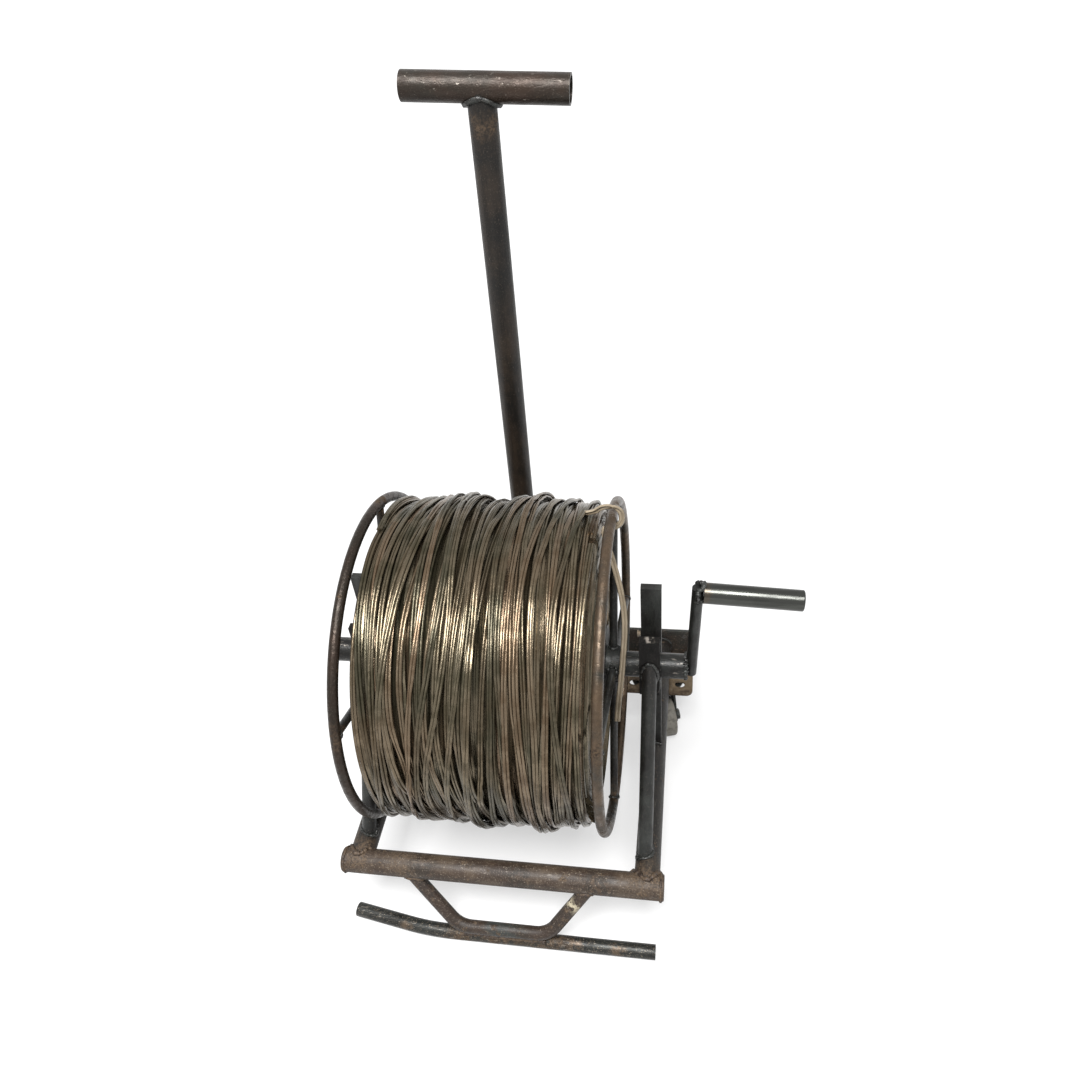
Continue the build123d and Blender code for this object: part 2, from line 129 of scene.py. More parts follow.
# Turns that show on the winding's two ends, and the folds that stick out at the crank side, each as its
# degrees onward, its reach along the drum and its rise
FLANK_STEPS = 64
FLANK_PITCH = 3.15
FLANK_INSET = 3.0
FOLD = ((0, -2, 0), (1, 3, 3), (2.2, 6, 4.5), (3.4, 5, 2), (4.6, -2, -3))
FOLD_STARTS = range(96, 140, 5)
FOLD_RADIUS = 151.0

# Welds: how far the beads lie off the bars that they join, the heights between which each flat is
# welded to its axle seat, where the caster plates and the foot are welded, and the handle's oval bead
BEAD_LIFT = 0.6
SEAT_WELD = (-21.0, -2.5)
PLATE_WELD_Y = (PLATE_Y - 30.0, PLATE_Y - 6.0)
PLATE_WELD_Z = -167.0
FOOT_SEAM = (-181.0, -221.9)
FOOT_SEAM_X = (-34.0, 10.0, 55.0)
HANDLE_BEAD = (15.0, 11.2)

# The camera: its place from the drum's middle in metres, and its turns in degrees
CAMERA_PLACE = (0.188, -0.614, 0.682)
CAMERA_TURN = 12.31
CAMERA_TILT = 90 - 39.72
CAMERA_ROLL = -6.26
CAMERA_LENS = 30.0
CAMERA_SENSOR = 36.0

# The floor's glow, for the camera alone. Its strength rises between two distances in metres.
FLOOR_GLOW = {"From Min": 0.5, "From Max": 2.2, "To Min": 0.58, "To Max": 1.0}

# The lamps: width and depth, place and aim in metres
KEY_LAMP = ((1.7, 1.0), (-0.05, -0.92, 2.4), (0, 0, 0.25))
FRONT_FILL = ((1.2, 1.2), (-1.2, -2.2, 1.5), (0, 0, 0.25))

# The loose end's route, as in the CAD source, with a few more points where it rounds the ring
LOOSE_END = [
    (91.0, 41.5, 159.4),
    (99.5, 40.9, 161.2),
    (105.4, 40.2, 167.0),
    (112.0, 39.9, 169.4),
    (120.2, 39.2, 169.3),
    (125.8, 37.6, 163.8),
    (125.6, 35.2, 153.6),
    (117.2, 32.6, 149.4),
    (108.2, 30.4, 151.6),
    (110.8, 26.5, 138.0),
    (117.0, 20.0, 121.0),
    (125.8, 6.0, 92.0),
    (129.5, -6.0, 66.0),
    (127.8, -17.0, 32.0),
    (125.0, -26.0, -2.0),
    (121.8, -32.0, -32.0),
    (120.8, -34.0, -49.0),
]


def at(x, y, z):
    """A point given in millimetres about the drum's middle, in metres in the model's frame."""
    return MIDDLE + Vector((x, y, z)) / 1000


def shade(red, green, blue):
    """A colour given as it is seen on a screen, 0 to 255, in the linear values that shaders take."""
    linear = []
    for value in (red, green, blue):
        part = value / 255
        linear.append(part / 12.92 if part <= 0.04045 else ((part + 0.055) / 1.055) ** 2.4)
    return tuple(linear)


def dimmed(colour, share):
    """The colour at a share of its light. A share over 1 brightens it."""
    return [value * share for value in colour]


# Settings that a user would change


def colour_setting(name, description, red, green, blue):
    """A colour, with its default given as it is seen on a screen."""
    return bpy.props.FloatVectorProperty(
        name=name, description=description, subtype="COLOR", size=3, default=shade(red, green, blue))


def length_setting(name, description, metres):
    """A length in metres."""
    return bpy.props.FloatProperty(name=name, description=description, default=metres, unit="LENGTH")


def amount_setting(name, description, amount):
    """A plain number from 0 up."""
    return bpy.props.FloatProperty(name=name, description=description, default=amount, min=0.0)


class ReelStage(bpy.types.PropertyGroup):
    """The lamps, the room's light and the floor"""
    key_power: amount_setting("Key lamp", "Power of the lamp above the reel, in watts", 120.0)
    fill_power: amount_setting("Front fill", "Power of the weak lamp near the camera, in watts", 4.0)
    sky: amount_setting("Room light", "Strength of the even light from all round", 0.24)
    floor_colour: bpy.props.FloatVectorProperty(
        name="Floor", description="Colour of the floor", subtype="COLOR", size=3, default=(0.42, 0.42, 0.42))


class ReelCable(bpy.types.PropertyGroup):
    """The cable's section, how it is wound, and its colours"""
    width: length_setting("Cable width", "Width across both cores", 0.006)
    lobe: length_setting("Core radius", "Radius of each core's sheath", 0.00152)
    base_radius: length_setting("First layer", "Radius that the outer layers are laid on", 0.1518)
    wander: bpy.props.FloatProperty(
        name="Wander", description="How far the turns stray sideways, against the width of one turn",
        default=0.62, min=0.0, max=2.0)
    seed: bpy.props.IntProperty(
        name="Seed", description="Another number lays the turns another way", default=11)
    olive: colour_setting("Aged sheath", "Colour of the dull olive turns", 48, 45, 30)
    copper: colour_setting("Copper", "Colour where the strands shine through", 77, 60, 43)
    grey: colour_setting("Grey turns", "Colour of the greyest turns", 42, 41, 28)
    strand: colour_setting("Strands", "Colour of the bright strands under the sheath", 214, 196, 170)
    pale: colour_setting("Loose end", "Colour of the clean loose end", 134, 122, 104)


class ReelSteel(bpy.types.PropertyGroup):
    """The colours of the steel, its paints and the wheels"""
    black: colour_setting("Black paint", "Worn black paint", 20, 19, 18)
    black_dusty: colour_setting("Dusty paint", "Black paint under dust", 40, 36, 31)
    brown: colour_setting("Brown scale", "Steel gone brown", 50, 39, 32)
    rust: colour_setting("Rust", "Dry rust", 86, 71, 56)
    earth: colour_setting("Dusty brown", "Brown steel under dry dust", 77, 65, 53)
    rust_dark: colour_setting("Dark rust", "The darker grain in the rust", 42, 35, 29)
    grit: colour_setting("Grit", "Pale grit and dust in the pits", 138, 126, 112)
    bare: colour_setting("Bare steel", "Steel rubbed bright", 150, 143, 135)
    slate: colour_setting("Slate grey", "Grey-black paint on the struts and the foot bar", 44, 46, 44)
    polished: colour_setting("Hand-polished steel", "The crank grip", 74, 75, 72)
    zinc: colour_setting("Zinc", "Dull zinc plate", 124, 108, 86)
    rubber: colour_setting("Wheel", "Dusty grey wheel", 128, 124, 115)
    cream: colour_setting("Old paint", "Cream paint scraped on the foot's leg", 196, 186, 160)


# Shader node groups, each built once


def new_group(name, inputs, outputs):
    """An empty shader node group with its named sockets and its input and output nodes."""
    tree = bpy.data.node_groups.new(name, "ShaderNodeTree")
    kinds = {"float": "NodeSocketFloat", "vector": "NodeSocketVector", "colour": "NodeSocketColor"}
    for socket, kind, value in inputs:
        made = tree.interface.new_socket(name=socket, in_out="INPUT", socket_type=kinds[kind])
        if value is not None:
            made.default_value = value
    for socket, kind in outputs:
        tree.interface.new_socket(name=socket, in_out="OUTPUT", socket_type=kinds[kind])
    return tree, tree.nodes.new("NodeGroupInput"), tree.nodes.new("NodeGroupOutput")


def node_of_type(tree, kind):
    """The first node of a type that a new tree comes with."""
    return next(node for node in tree.nodes if node.type == kind)


def feed(tree, value, socket):
    """Link a socket to another, or set it to a plain number."""
    if isinstance(value, (int, float)):
        socket.default_value = value
    else:
        tree.links.new(value, socket)


def maths(tree, operation, first, second):
    """One Math node. Each operand is a socket or a plain number."""
    node = tree.nodes.new("ShaderNodeMath")
    node.operation = operation
    feed(tree, first, node.inputs[0])
    feed(tree, second, node.inputs[1])
    return node.outputs[0]


def vector_maths(tree, operation, first, second):
    """One Vector Math node between two sockets."""
    node = tree.nodes.new("ShaderNodeVectorMath")
    node.operation = operation
    tree.links.new(first, node.inputs[0])
    tree.links.new(second, node.inputs[1])
    return node


def fade_between(tree, value, low, high):
    """A mask that goes from 0 at the low value to 1 at the high one."""
    node = tree.nodes.new("ShaderNodeMapRange")
    node.interpolation_type = "SMOOTHSTEP"
    tree.links.new(value, node.inputs["Value"])
    feed(tree, low, node.inputs["From Min"])
    feed(tree, high, node.inputs["From Max"])
    return node.outputs["Result"]


def cloudy(tree, vector, scale, detail, roughness=0.5):
    """The value of one Noise Texture node."""
    node = tree.nodes.new("ShaderNodeTexNoise")
    node.inputs["Detail"].default_value = detail
    node.inputs["Roughness"].default_value = roughness
    tree.links.new(vector, node.inputs["Vector"])
    feed(tree, scale, node.inputs["Scale"])
    return node.outputs[0]


def patches_group():
    """Cloudy patches, stretched where asked, such as rust blooms and rubbed streaks."""
    tree, given, result = new_group(
        "Patches",
        [("Vector", "vector", None), ("Stretch", "vector", (1, 1, 1)), ("Scale", "float", 40.0),
         ("Low", "float", 0.45), ("High", "float", 0.6)],
        [("Mask", "float")])
    stretched = vector_maths(tree, "MULTIPLY", given.outputs["Vector"], given.outputs["Stretch"])
    noise = cloudy(tree, stretched.outputs[0], given.outputs["Scale"], 6.0, 0.62)
    mask = fade_between(tree, noise, given.outputs["Low"], given.outputs["High"])
    tree.links.new(mask, result.inputs["Mask"])
    return tree


def pitting_group():
    """The fine uneven skin of old steel: grain with small pits in it."""
    tree, given, result = new_group(
        "Pitted skin", [("Vector", "vector", None), ("Scale", "float", 900.0)],
        [("Height", "float"), ("Speck", "float")])
    noise = cloudy(tree, given.outputs["Vector"], given.outputs["Scale"], 4.0, 0.7)
    cells = tree.nodes.new("ShaderNodeTexVoronoi")
    tree.links.new(given.outputs["Vector"], cells.inputs["Vector"])
    tree.links.new(maths(tree, "MULTIPLY", given.outputs["Scale"], 0.45), cells.inputs["Scale"])
    pits = fade_between(tree, cells.outputs["Distance"], 0.05, 0.35)
    grain = maths(tree, "MULTIPLY", noise, 0.6)
    height = maths(tree, "ADD", grain, maths(tree, "MULTIPLY", pits, 0.4))
    tree.links.new(height, result.inputs["Height"])
    tree.links.new(fade_between(tree, noise, 0.56, 0.72), result.inputs["Speck"])
    return tree


def round_point_group():
    """A ragged zone round one point, such as the burnt paint and rust beside a weld."""
    tree, given, result = new_group(
        "Round a point",
        [("Vector", "vector", None), ("Centre", "vector", (0, 0, 0)), ("Reach", "float", 0.03)],
        [("Mask", "float")])
    away = vector_maths(tree, "DISTANCE", given.outputs["Vector"], given.outputs["Centre"])
    noise = cloudy(tree, given.outputs["Vector"], 160.0, 5.0)
    ragged = maths(tree, "MULTIPLY", maths(tree, "ADD", noise, 0.5), away.outputs["Value"])
    inner = maths(tree, "MULTIPLY", given.outputs["Reach"], 0.35)
    outside = fade_between(tree, ragged, inner, given.outputs["Reach"])
    tree.links.new(maths(tree, "SUBTRACT", 1.0, outside), result.inputs["Mask"])
    return tree


def shared_group(name, builder):
    """The node group of this name, built on its first use."""
    return bpy.data.node_groups.get(name) or builder()


class Recipe:
    """A material in the making: its node tree, its Principled shader and the coordinates it reads."""

    def __init__(self, name, roughness=0.5, metallic=0.0, coat=0.0, specular=0.5):
        self.material = bpy.data.materials.new(name)
        self.material.use_nodes = True
        self.tree = self.material.node_tree
        self.shader = node_of_type(self.tree, "BSDF_PRINCIPLED")
        self.shader.inputs["Roughness"].default_value = roughness
        self.shader.inputs["Metallic"].default_value = metallic
        self.shader.inputs["Coat Weight"].default_value = coat
        self.shader.inputs["Coat Roughness"].default_value = 0.28
        self.shader.inputs["Specular IOR Level"].default_value = specular
        self.place = self.tree.nodes.new("ShaderNodeTexCoord").outputs["Object"]

    def group(self, name, builder, **values):
        """A shared node group placed in this material, with its own values."""
        node = self.tree.nodes.new("ShaderNodeGroup")
        node.node_tree = shared_group(name, builder)
        self.tree.links.new(self.place, node.inputs["Vector"])
        for key, value in values.items():
            node.inputs[key.capitalize()].default_value = value
        return node

    def patches(self, scale, low, high, stretch=(1, 1, 1)):
        """A mask of cloudy patches. Higher limits leave fewer of them."""
        node = self.group("Patches", patches_group, scale=scale, low=low, high=high, stretch=stretch)
        return node.outputs[0]

    def round_point(self, centre, reach):
        """A zone round a point given in millimetres about the drum's middle."""
        place = tuple(at(*centre))
        node = self.group("Round a point", round_point_group, centre=place, reach=reach / 1000)
        return node.outputs[0]

    def most(self, masks):
        """The strongest of several masks."""
        strongest = masks[0]
        for mask in masks[1:]:
            strongest = maths(self.tree, "MAXIMUM", strongest, mask)
        return strongest

    def mix(self, mask, first, second):
        """A colour that goes from the first to the second with the mask."""
        node = self.tree.nodes.new("ShaderNodeMix")
        node.data_type = "RGBA"
        self.tree.links.new(mask, node.inputs["Factor"])
        for slot, colour in ((6, first), (7, second)):
            if isinstance(colour, bpy.types.NodeSocket):
                self.tree.links.new(colour, node.inputs[slot])
            else:
                node.inputs[slot].default_value = (*colour[:3], 1.0)
        return node.outputs[2]

    def level(self, mask, at_none, at_full):
        """A value that goes from one number to another with the mask."""
        node = self.tree.nodes.new("ShaderNodeMapRange")
        self.tree.links.new(mask, node.inputs["Value"])
        node.inputs["To Min"].default_value = at_none
        node.inputs["To Max"].default_value = at_full
        return node.outputs["Result"]

    def lay(self, mask, most, under, over):
        """A colour laid over another, at most by the given share where the mask is full."""
        return self.mix(self.level(mask, 0.0, most), under, over)

    def bump(self, height, depth, strength=1.0, under=None):
        """Relief from a height, laid over another relief where one is given. Depth in millimetres."""
        node = self.tree.nodes.new("ShaderNodeBump")
        node.inputs["Strength"].default_value = strength
        node.inputs["Distance"].default_value = depth / 1000
        self.tree.links.new(height, node.inputs["Height"])
        if under is not None:
            self.tree.links.new(under, node.inputs["Normal"])
        return node.outputs[0]

    def drive(self, **sockets):
        """Link values to the shader's sockets, by name."""
        for key, value in sockets.items():
            self.tree.links.new(value, self.shader.inputs[key.replace("_", " ").title()])
        return self.material


def steel(name, coat, dusty, rust_low=0.62, rub_low=0.64, stretch=(1, 1, 1), welds=(), rough=0.42, shine=0.0,
          specks=0.3, scrapes=(), sheen=0.3):
    """Old steel: a coat with dusty patches, rust blooms and rust round its welds, and thin rubbed streaks.

    The rust and the rubbed streaks start where a cloudy noise passes rust_low and rub_low, so a higher
    number leaves less of them. The stretch draws the streaks out along the bar. Welds are points and
    reaches in millimetres, and scrapes are the same with a paint. Specks is the share of pale grit in
    the pits, and shine is how far the coat is metal."""
    colours = bpy.context.scene.reel_steel
    recipe = Recipe(name, roughness=rough, metallic=shine, specular=sheen)
    tree = recipe.tree
    dust = recipe.patches(22.0, 0.36, 0.66)
    grime = recipe.patches(140.0, 0.40, 0.66, stretch)
    blooms = recipe.patches(110.0, rust_low, rust_low + 0.08)
    fine = recipe.patches(520.0, 0.42, 0.62)
    streaks = recipe.patches(420.0, rub_low, rub_low + 0.05, stretch)
    broken = recipe.level(recipe.patches(90.0, 0.38, 0.60), 0.1, 0.95)
    heat = [maths(tree, "MULTIPLY", recipe.round_point(point, reach), broken) for point, reach in welds]
    rusty = recipe.most([blooms] + heat)
    pitted = recipe.group("Pitted skin", pitting_group, scale=850.0)
    rust = recipe.mix(fine, colours.rust, colours.rust_dark)
    colour = recipe.mix(dust, coat, dusty)
    colour = recipe.lay(grime, 0.6, colour, dimmed(coat, 0.5))
    colour = recipe.mix(rusty, colour, rust)
    scuffed = maths(tree, "MULTIPLY", streaks, recipe.level(pitted.outputs["Speck"], 0.4, 1.0))
    colour = recipe.mix(scuffed, colour, colours.bare)
    # A scrape here can also be a painted highlight: on the front flats' tops it is partly rubbed steel,
    # partly light on the top edge.
    for point, reach, paint in scrapes:
        chipped = maths(tree, "MULTIPLY", recipe.round_point(point, reach), recipe.patches(150.0, 0.44, 0.52))
        colour = recipe.mix(chipped, colour, paint)
    grit = recipe.most([pitted.outputs["Speck"], recipe.patches(640.0, 0.60, 0.66)])
    speckled = recipe.lay(grit, specks, colour, colours.grit)
    roughness = recipe.level(recipe.most([rusty, recipe.level(grime, 0.0, 0.4)]), rough, 0.72)
    metallic = recipe.level(scuffed, shine, 0.85)
    relief = recipe.bump(pitted.outputs["Height"], 0.3, 0.75)
    relief = recipe.bump(rusty, 0.2, 0.6, under=relief)
    relief = recipe.bump(grime, 0.35, 0.5, under=relief)
    return recipe.drive(base_color=speckled, roughness=roughness, metallic=metallic, normal=relief)


# Modelling helpers


def clear_selection():
    """Deselect every object."""
    bpy.ops.object.select_all(action="DESELECT")


def select_only(*objects):
    """Select these objects alone, with the first as the active one."""
    clear_selection()
    for obj in objects:
        obj.select_set(True)
    bpy.context.view_layer.objects.active = objects[0]


def new_curve(name, points, closed=False, kind="POLY", radii=None, tilts=None):
    """A curve of one spline through points in metres."""
    data = bpy.data.curves.new(name, "CURVE")
    data.dimensions = "3D"
    spline = data.splines.new(kind)
    spline.points.add(len(points) - 1)
    for i, point in enumerate(points):
        spline.points[i].co = (*point, 1.0)
        if radii:
            spline.points[i].radius = radii[i]
        if tilts:
            spline.points[i].tilt = tilts[i]
    spline.use_cyclic_u = closed
    if kind == "NURBS":
        spline.order_u = 3
        spline.use_endpoint_u = True
    obj = bpy.data.objects.new(name, data)
    bpy.context.scene.collection.objects.link(obj)
    return obj


def made_mesh(obj):
    """The object with its curve turned into a mesh."""
    select_only(obj)
    bpy.ops.object.convert(target="MESH")
    return bpy.context.view_layer.objects.active


def joined(pieces, name):
    """The pieces as one object of this name."""
    select_only(*pieces)
    if len(pieces) > 1:
        bpy.ops.object.join()
    whole = bpy.context.view_layer.objects.active
    whole.name = name
    return whole


def finished(obj, body, material, smooth=60.0):
    """Close seams, point the faces outwards, smooth the shading, and set the piece on its body."""
    select_only(obj)
    bpy.ops.object.mode_set(mode="EDIT")
    bpy.ops.mesh.select_all(action="SELECT")
    bpy.ops.mesh.remove_doubles(threshold=0.00002)
    bpy.ops.mesh.normals_make_consistent(inside=False)
    bpy.ops.object.mode_set(mode="OBJECT")
    bpy.ops.object.shade_smooth_by_angle(angle=radians(smooth))
    obj.data.materials.clear()
    obj.data.materials.append(material)
    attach(obj, body)
    clear_selection()
    return obj


def even_steps(points, step, closed):
    """Points at even steps along a line of straight runs."""
    line = [Vector(p) for p in points]
    if closed:
        line.append(line[0])
    reach = [0.0]
    for first, second in zip(line, line[1:]):
        reach.append(reach[-1] + (second - first).length)
    count = max(4, round(reach[-1] / step))
    made = []
    run = 0
    for i in range(count if closed else count + 1):
        wanted = reach[-1] * i / count
        while run < len(line) - 2 and reach[run + 1] < wanted:
            run += 1
        length = max(reach[run + 1] - reach[run], 1e-9)
        made.append(line[run].lerp(line[run + 1], (wanted - reach[run]) / length))
    return made


def weld_bead(points, size, closed=True, ripple=0.10, seed=1, lumps=0.13):
    """A weld bead along points in millimetres: a rippled, slightly uneven round run."""
    rng = random.Random(seed)
    steps = even_steps(points, size * 0.42, closed)
    beat = 2 * pi / 4.3
    lump = 0.0
    radii = []
    places = []
    for i, point in enumerate(steps):
        lump = 0.8 * lump + rng.gauss(0, lumps)
        swell = max(0.55, 1 + ripple * sin(beat * i) + lump)
        radii.append(swell)
        jitter = Vector([rng.uniform(-1, 1) for _ in range(3)]) * size * lumps * 0.8
        places.append(at(*(point + jitter)))
    bead = new_curve("bead", places, closed=closed, radii=radii)
    bead.data.bevel_depth = size / 1000
    bead.data.bevel_resolution = 1
    bead.data.use_fill_caps = not closed
    return made_mesh(bead)


def saddle(through, along, radius, host_through, host_along, host_radius, turn=(0, 360), steps=36):
    """The line where a round bar meets the round bar that carries it, in millimetres.

    The first bar's axis points away from its host."""
    axis = Vector(along).normalized()
    host = Vector(host_along).normalized()
    across = axis.cross(host).normalized()
    upright = axis.cross(across)
    run = axis - host * axis.dot(host)
    points = []
    whole = turn[1] - turn[0] >= 360
    for i in range(steps if whole else steps + 1):
        angle = radians(turn[0] + (turn[1] - turn[0]) * i / steps)
        start = Vector(through) + (across * cos(angle) + upright * sin(angle)) * radius
        away = start - Vector(host_through)
        away -= host * away.dot(host)
        a, b, c = run.dot(run), 2 * away.dot(run), away.dot(away) - host_radius ** 2
        reach = (-b + sqrt(max(b * b - 4 * a * c, 0.0))) / (2 * a)
        points.append(start + axis * reach)
    return points


def circle(centre, normal, radius, turn=(0, 360), steps=36):
    """Points round a circle, in millimetres."""
    axis = Vector(normal).normalized()
    across = axis.orthogonal().normalized()
    upright = axis.cross(across)
    whole = turn[1] - turn[0] >= 360
    points = []
    for i in range(steps if whole else steps + 1):
        angle = radians(turn[0] + (turn[1] - turn[0]) * i / steps)
        points.append(Vector(centre) + (across * cos(angle) + upright * sin(angle)) * radius)
    return points


def spoke_direction(number):
    """The way that a spoke points out from the axle."""
    angle = radians(90 - SPOKE_TURN + number * 90)
    return Vector((0, cos(angle), sin(angle)))


# Cable


def twin_outline(width, lobe, fine=True):
    """The section of twin-core cable, wide along its second axis: two round lobes and two grooves."""
    offset = width / 2 - lobe
    angles = (-120, -60, 0, 60, 120) if fine else (-100, 0, 100)
    points = []
    for side in (1, -1):
        for angle in angles:
            a = radians(angle)
            points.append((lobe * sin(a) * side, side * (offset + lobe * cos(a))))
        points.append((side * lobe * 0.3, 0.0))
    return points


def outline_curve(name, outline):
    """The section as a closed flat curve, for use as a bevel."""
    obj = new_curve(name, [(x, y, 0.0) for x, y in outline], closed=True)
    obj.data.dimensions = "2D"
    obj.data.fill_mode = "NONE"
    return obj


def lay_turns(cable):
    """Lay the outer turns one on another, as a drum is wound.

    The height that the turns have reached is kept in a table by angle and by place along the drum,
    so a turn that strays over another climbs it. Each layer is a list of points, one list for each
    full turn: angle from the top towards the front, place along the drum, radius, tilt and turn
    number. Lengths are in millimetres."""
    rng = random.Random(cable.seed)
    half = cable.width * 500
    thick = cable.lobe * 1000
    left, right = WINDING_ENDS
    cells = round((right - left) / HEIGHT_CELL)
    height = [[cable.base_radius * 1000] * cells for _ in range(STEPS_AROUND)]
    layers = []
    number = 0
    for direction, pitch, stray, kicks in LAYERS:
        place = left + half + END_ROOM if direction > 0 else right - half - END_ROOM
        old = [0.0] * 6
        turns = []
        settled = []
        while left + half < place + direction * pitch < right - half:
            step = pitch + rng.uniform(-0.25, 0.45)
            if rng.random() < SKIP_CHANCE:
                step += SKIP
            new = [0.72 * value + rng.gauss(0, stray * cable.wander * amount)
                   for value, amount in zip(old, (2.4, 2.4, 1.7, 1.7, 1.2, 1.2))]
            kick = rng.choice((-1, 1)) * rng.uniform(5, 11) if rng.random() < kicks else 0.0
            kick_at = rng.uniform(1.3, 5.0)
            kick_wide = rng.uniform(0.25, 0.5)
            xs = []
            for i in range(STEPS_AROUND):
                part = i / STEPS_AROUND
                angle = 2 * pi * part
                sway = 0.0
                for k in range(3):
                    rise = old[2 * k] + (new[2 * k] - old[2 * k]) * part
                    fall = old[2 * k + 1] + (new[2 * k + 1] - old[2 * k + 1]) * part
                    sway += rise * cos((k + 1) * angle) + fall * sin((k + 1) * angle)
                sway += kick * exp(-((angle - kick_at) / kick_wide) ** 2)
                x = place + direction * step * part + sway
                xs.append(min(max(x, left + half), right - half))
            raw = []
            tilts = []
            for i, x in enumerate(xs):
                low = int((x - half * 0.7 - left) / HEIGHT_CELL)
                high = int((x + half * 0.7 - left) / HEIGHT_CELL)
                under = height[i][max(low, 0):min(high + 1, cells)]
                middle = len(under) // 2
                raw.append(max(under) + thick * 0.90)
                lean = (sum(under[middle:]) / len(under[middle:]) - sum(under[:middle]) / middle) / half
                tilts.append(max(-0.5, min(0.5, atan(lean))) * 0.8)
            smooth = settled[-3:] + raw
            for _ in range(3):
                smooth = [
                    (smooth[max(i - 1, 0)] + 2 * smooth[i] + smooth[min(i + 1, len(smooth) - 1)]) / 4
                    for i in range(len(smooth))]
            smooth = smooth[len(smooth) - STEPS_AROUND:]
            radii = [max(a, b - 0.9) for a, b in zip(smooth, raw)]
            points = []
            for i in range(STEPS_AROUND):
                low = int((xs[i] - half - left) / HEIGHT_CELL)
                high = int((xs[i] + half - left) / HEIGHT_CELL)
                for j in range(max(low, 0), min(high + 1, cells)):
                    off = abs(left + j * HEIGHT_CELL - xs[i]) / (half + 0.1)
                    top = radii[i] + thick * 0.92 * sqrt(max(0.0, 1 - off ** 4))
                    height[i][j] = max(height[i][j], top)
                points.append((2 * pi * i / STEPS_AROUND, xs[i], radii[i], tilts[i], number))
            turns.append(points)
            settled = radii
            old = new
            place += direction * step
            number += 1
        layers.append(turns)
    return layers


def mark_strands(mesh, outline, lobe, along):
    """Note at each point where it lies round its own core, and how far along the cable, in millimetres."""
    offset = max(y for _, y in outline) - lobe
    mark = mesh.attributes.new("strand", "FLOAT_VECTOR", "POINT")
    for i, vertex in enumerate(mark.data):
        x, y = outline[i % len(outline)]
        spot = min(i // len(outline), len(along) - 1)
        vertex.vector = (x / lobe, (abs(y) - offset) / lobe, along[spot])


def turns_mesh(name, turns, outline, lobe, rng):
    """One long run of cable round the drum, built upright and then laid on the drum's axis."""
    points = [point for turn in turns for point in turn]
    path = []
    for angle, x, radius, _, _ in points:
        path.append(Vector((radius * cos(angle), radius * sin(angle), x)) / 1000)
    for _ in range(2):
        inner = [(path[i - 1] + path[i] * 2 + path[i + 1]) / 4 for i in range(1, len(path) - 1)]
        path = [path[0]] + inner + [path[-1]]
    twist = [0.0]
    for _ in points[1:]:
        twist.append(0.98 * twist[-1] + rng.gauss(0, 0.045))
    tilts = [point[3] + sway for point, sway in zip(points, twist)]
    curve = new_curve(name, path, tilts=tilts)
    curve.data.twist_mode = "Z_UP"
    section = outline_curve("cable section", outline)
    curve.data.bevel_mode = "OBJECT"
    curve.data.bevel_object = section
    curve.data.use_fill_caps = True
    mesh = made_mesh(curve)
    bpy.data.objects.remove(section)
    along = [0.0]
    for first, second in zip(path, path[1:]):
        along.append(along[-1] + (second - first).length * 1000)
    mark_strands(mesh.data, outline, lobe, along)
    turned = Matrix(((0, 0, 1, 0), (0, -1, 0, 0), (1, 0, 0, 0), (0, 0, 0, 1)))
    mesh.data.transform(Matrix.Translation(MIDDLE) @ turned)
    mark = mesh.data.attributes.new("turn", "FLOAT", "POINT")
    tones = [rng.random() for _ in range(points[-1][4] + 2)]
    ring = len(outline)
    for i, vertex in enumerate(mark.data):
        spot = min(i // ring, len(points) - 1)
        vertex.value = tones[points[spot][4]]
    return mesh


def strands_group():
    """The strands twisted inside each core: ridges that run slantwise along the cable."""
    tree, given, result = new_group(
        "Strands",
        [("Vector", "vector", None), ("Count", "float", 7.0), ("Lay", "float", 26.0)],
        [("Ridge", "float")])
    parts = tree.nodes.new("ShaderNodeSeparateXYZ")
    tree.links.new(given.outputs["Vector"], parts.inputs[0])
    angle = maths(tree, "ARCTAN2", parts.outputs["X"], parts.outputs["Y"])
    turned = maths(tree, "DIVIDE", maths(tree, "MULTIPLY", parts.outputs["Z"], 2 * pi), given.outputs["Lay"])
    phase = maths(tree, "MULTIPLY", maths(tree, "ADD", angle, turned), given.outputs["Count"])
    ridge = maths(tree, "ADD", maths(tree, "MULTIPLY", maths(tree, "SINE", phase, 0.0), 0.5), 0.5)
    tree.links.new(ridge, result.inputs["Ridge"])
    return tree


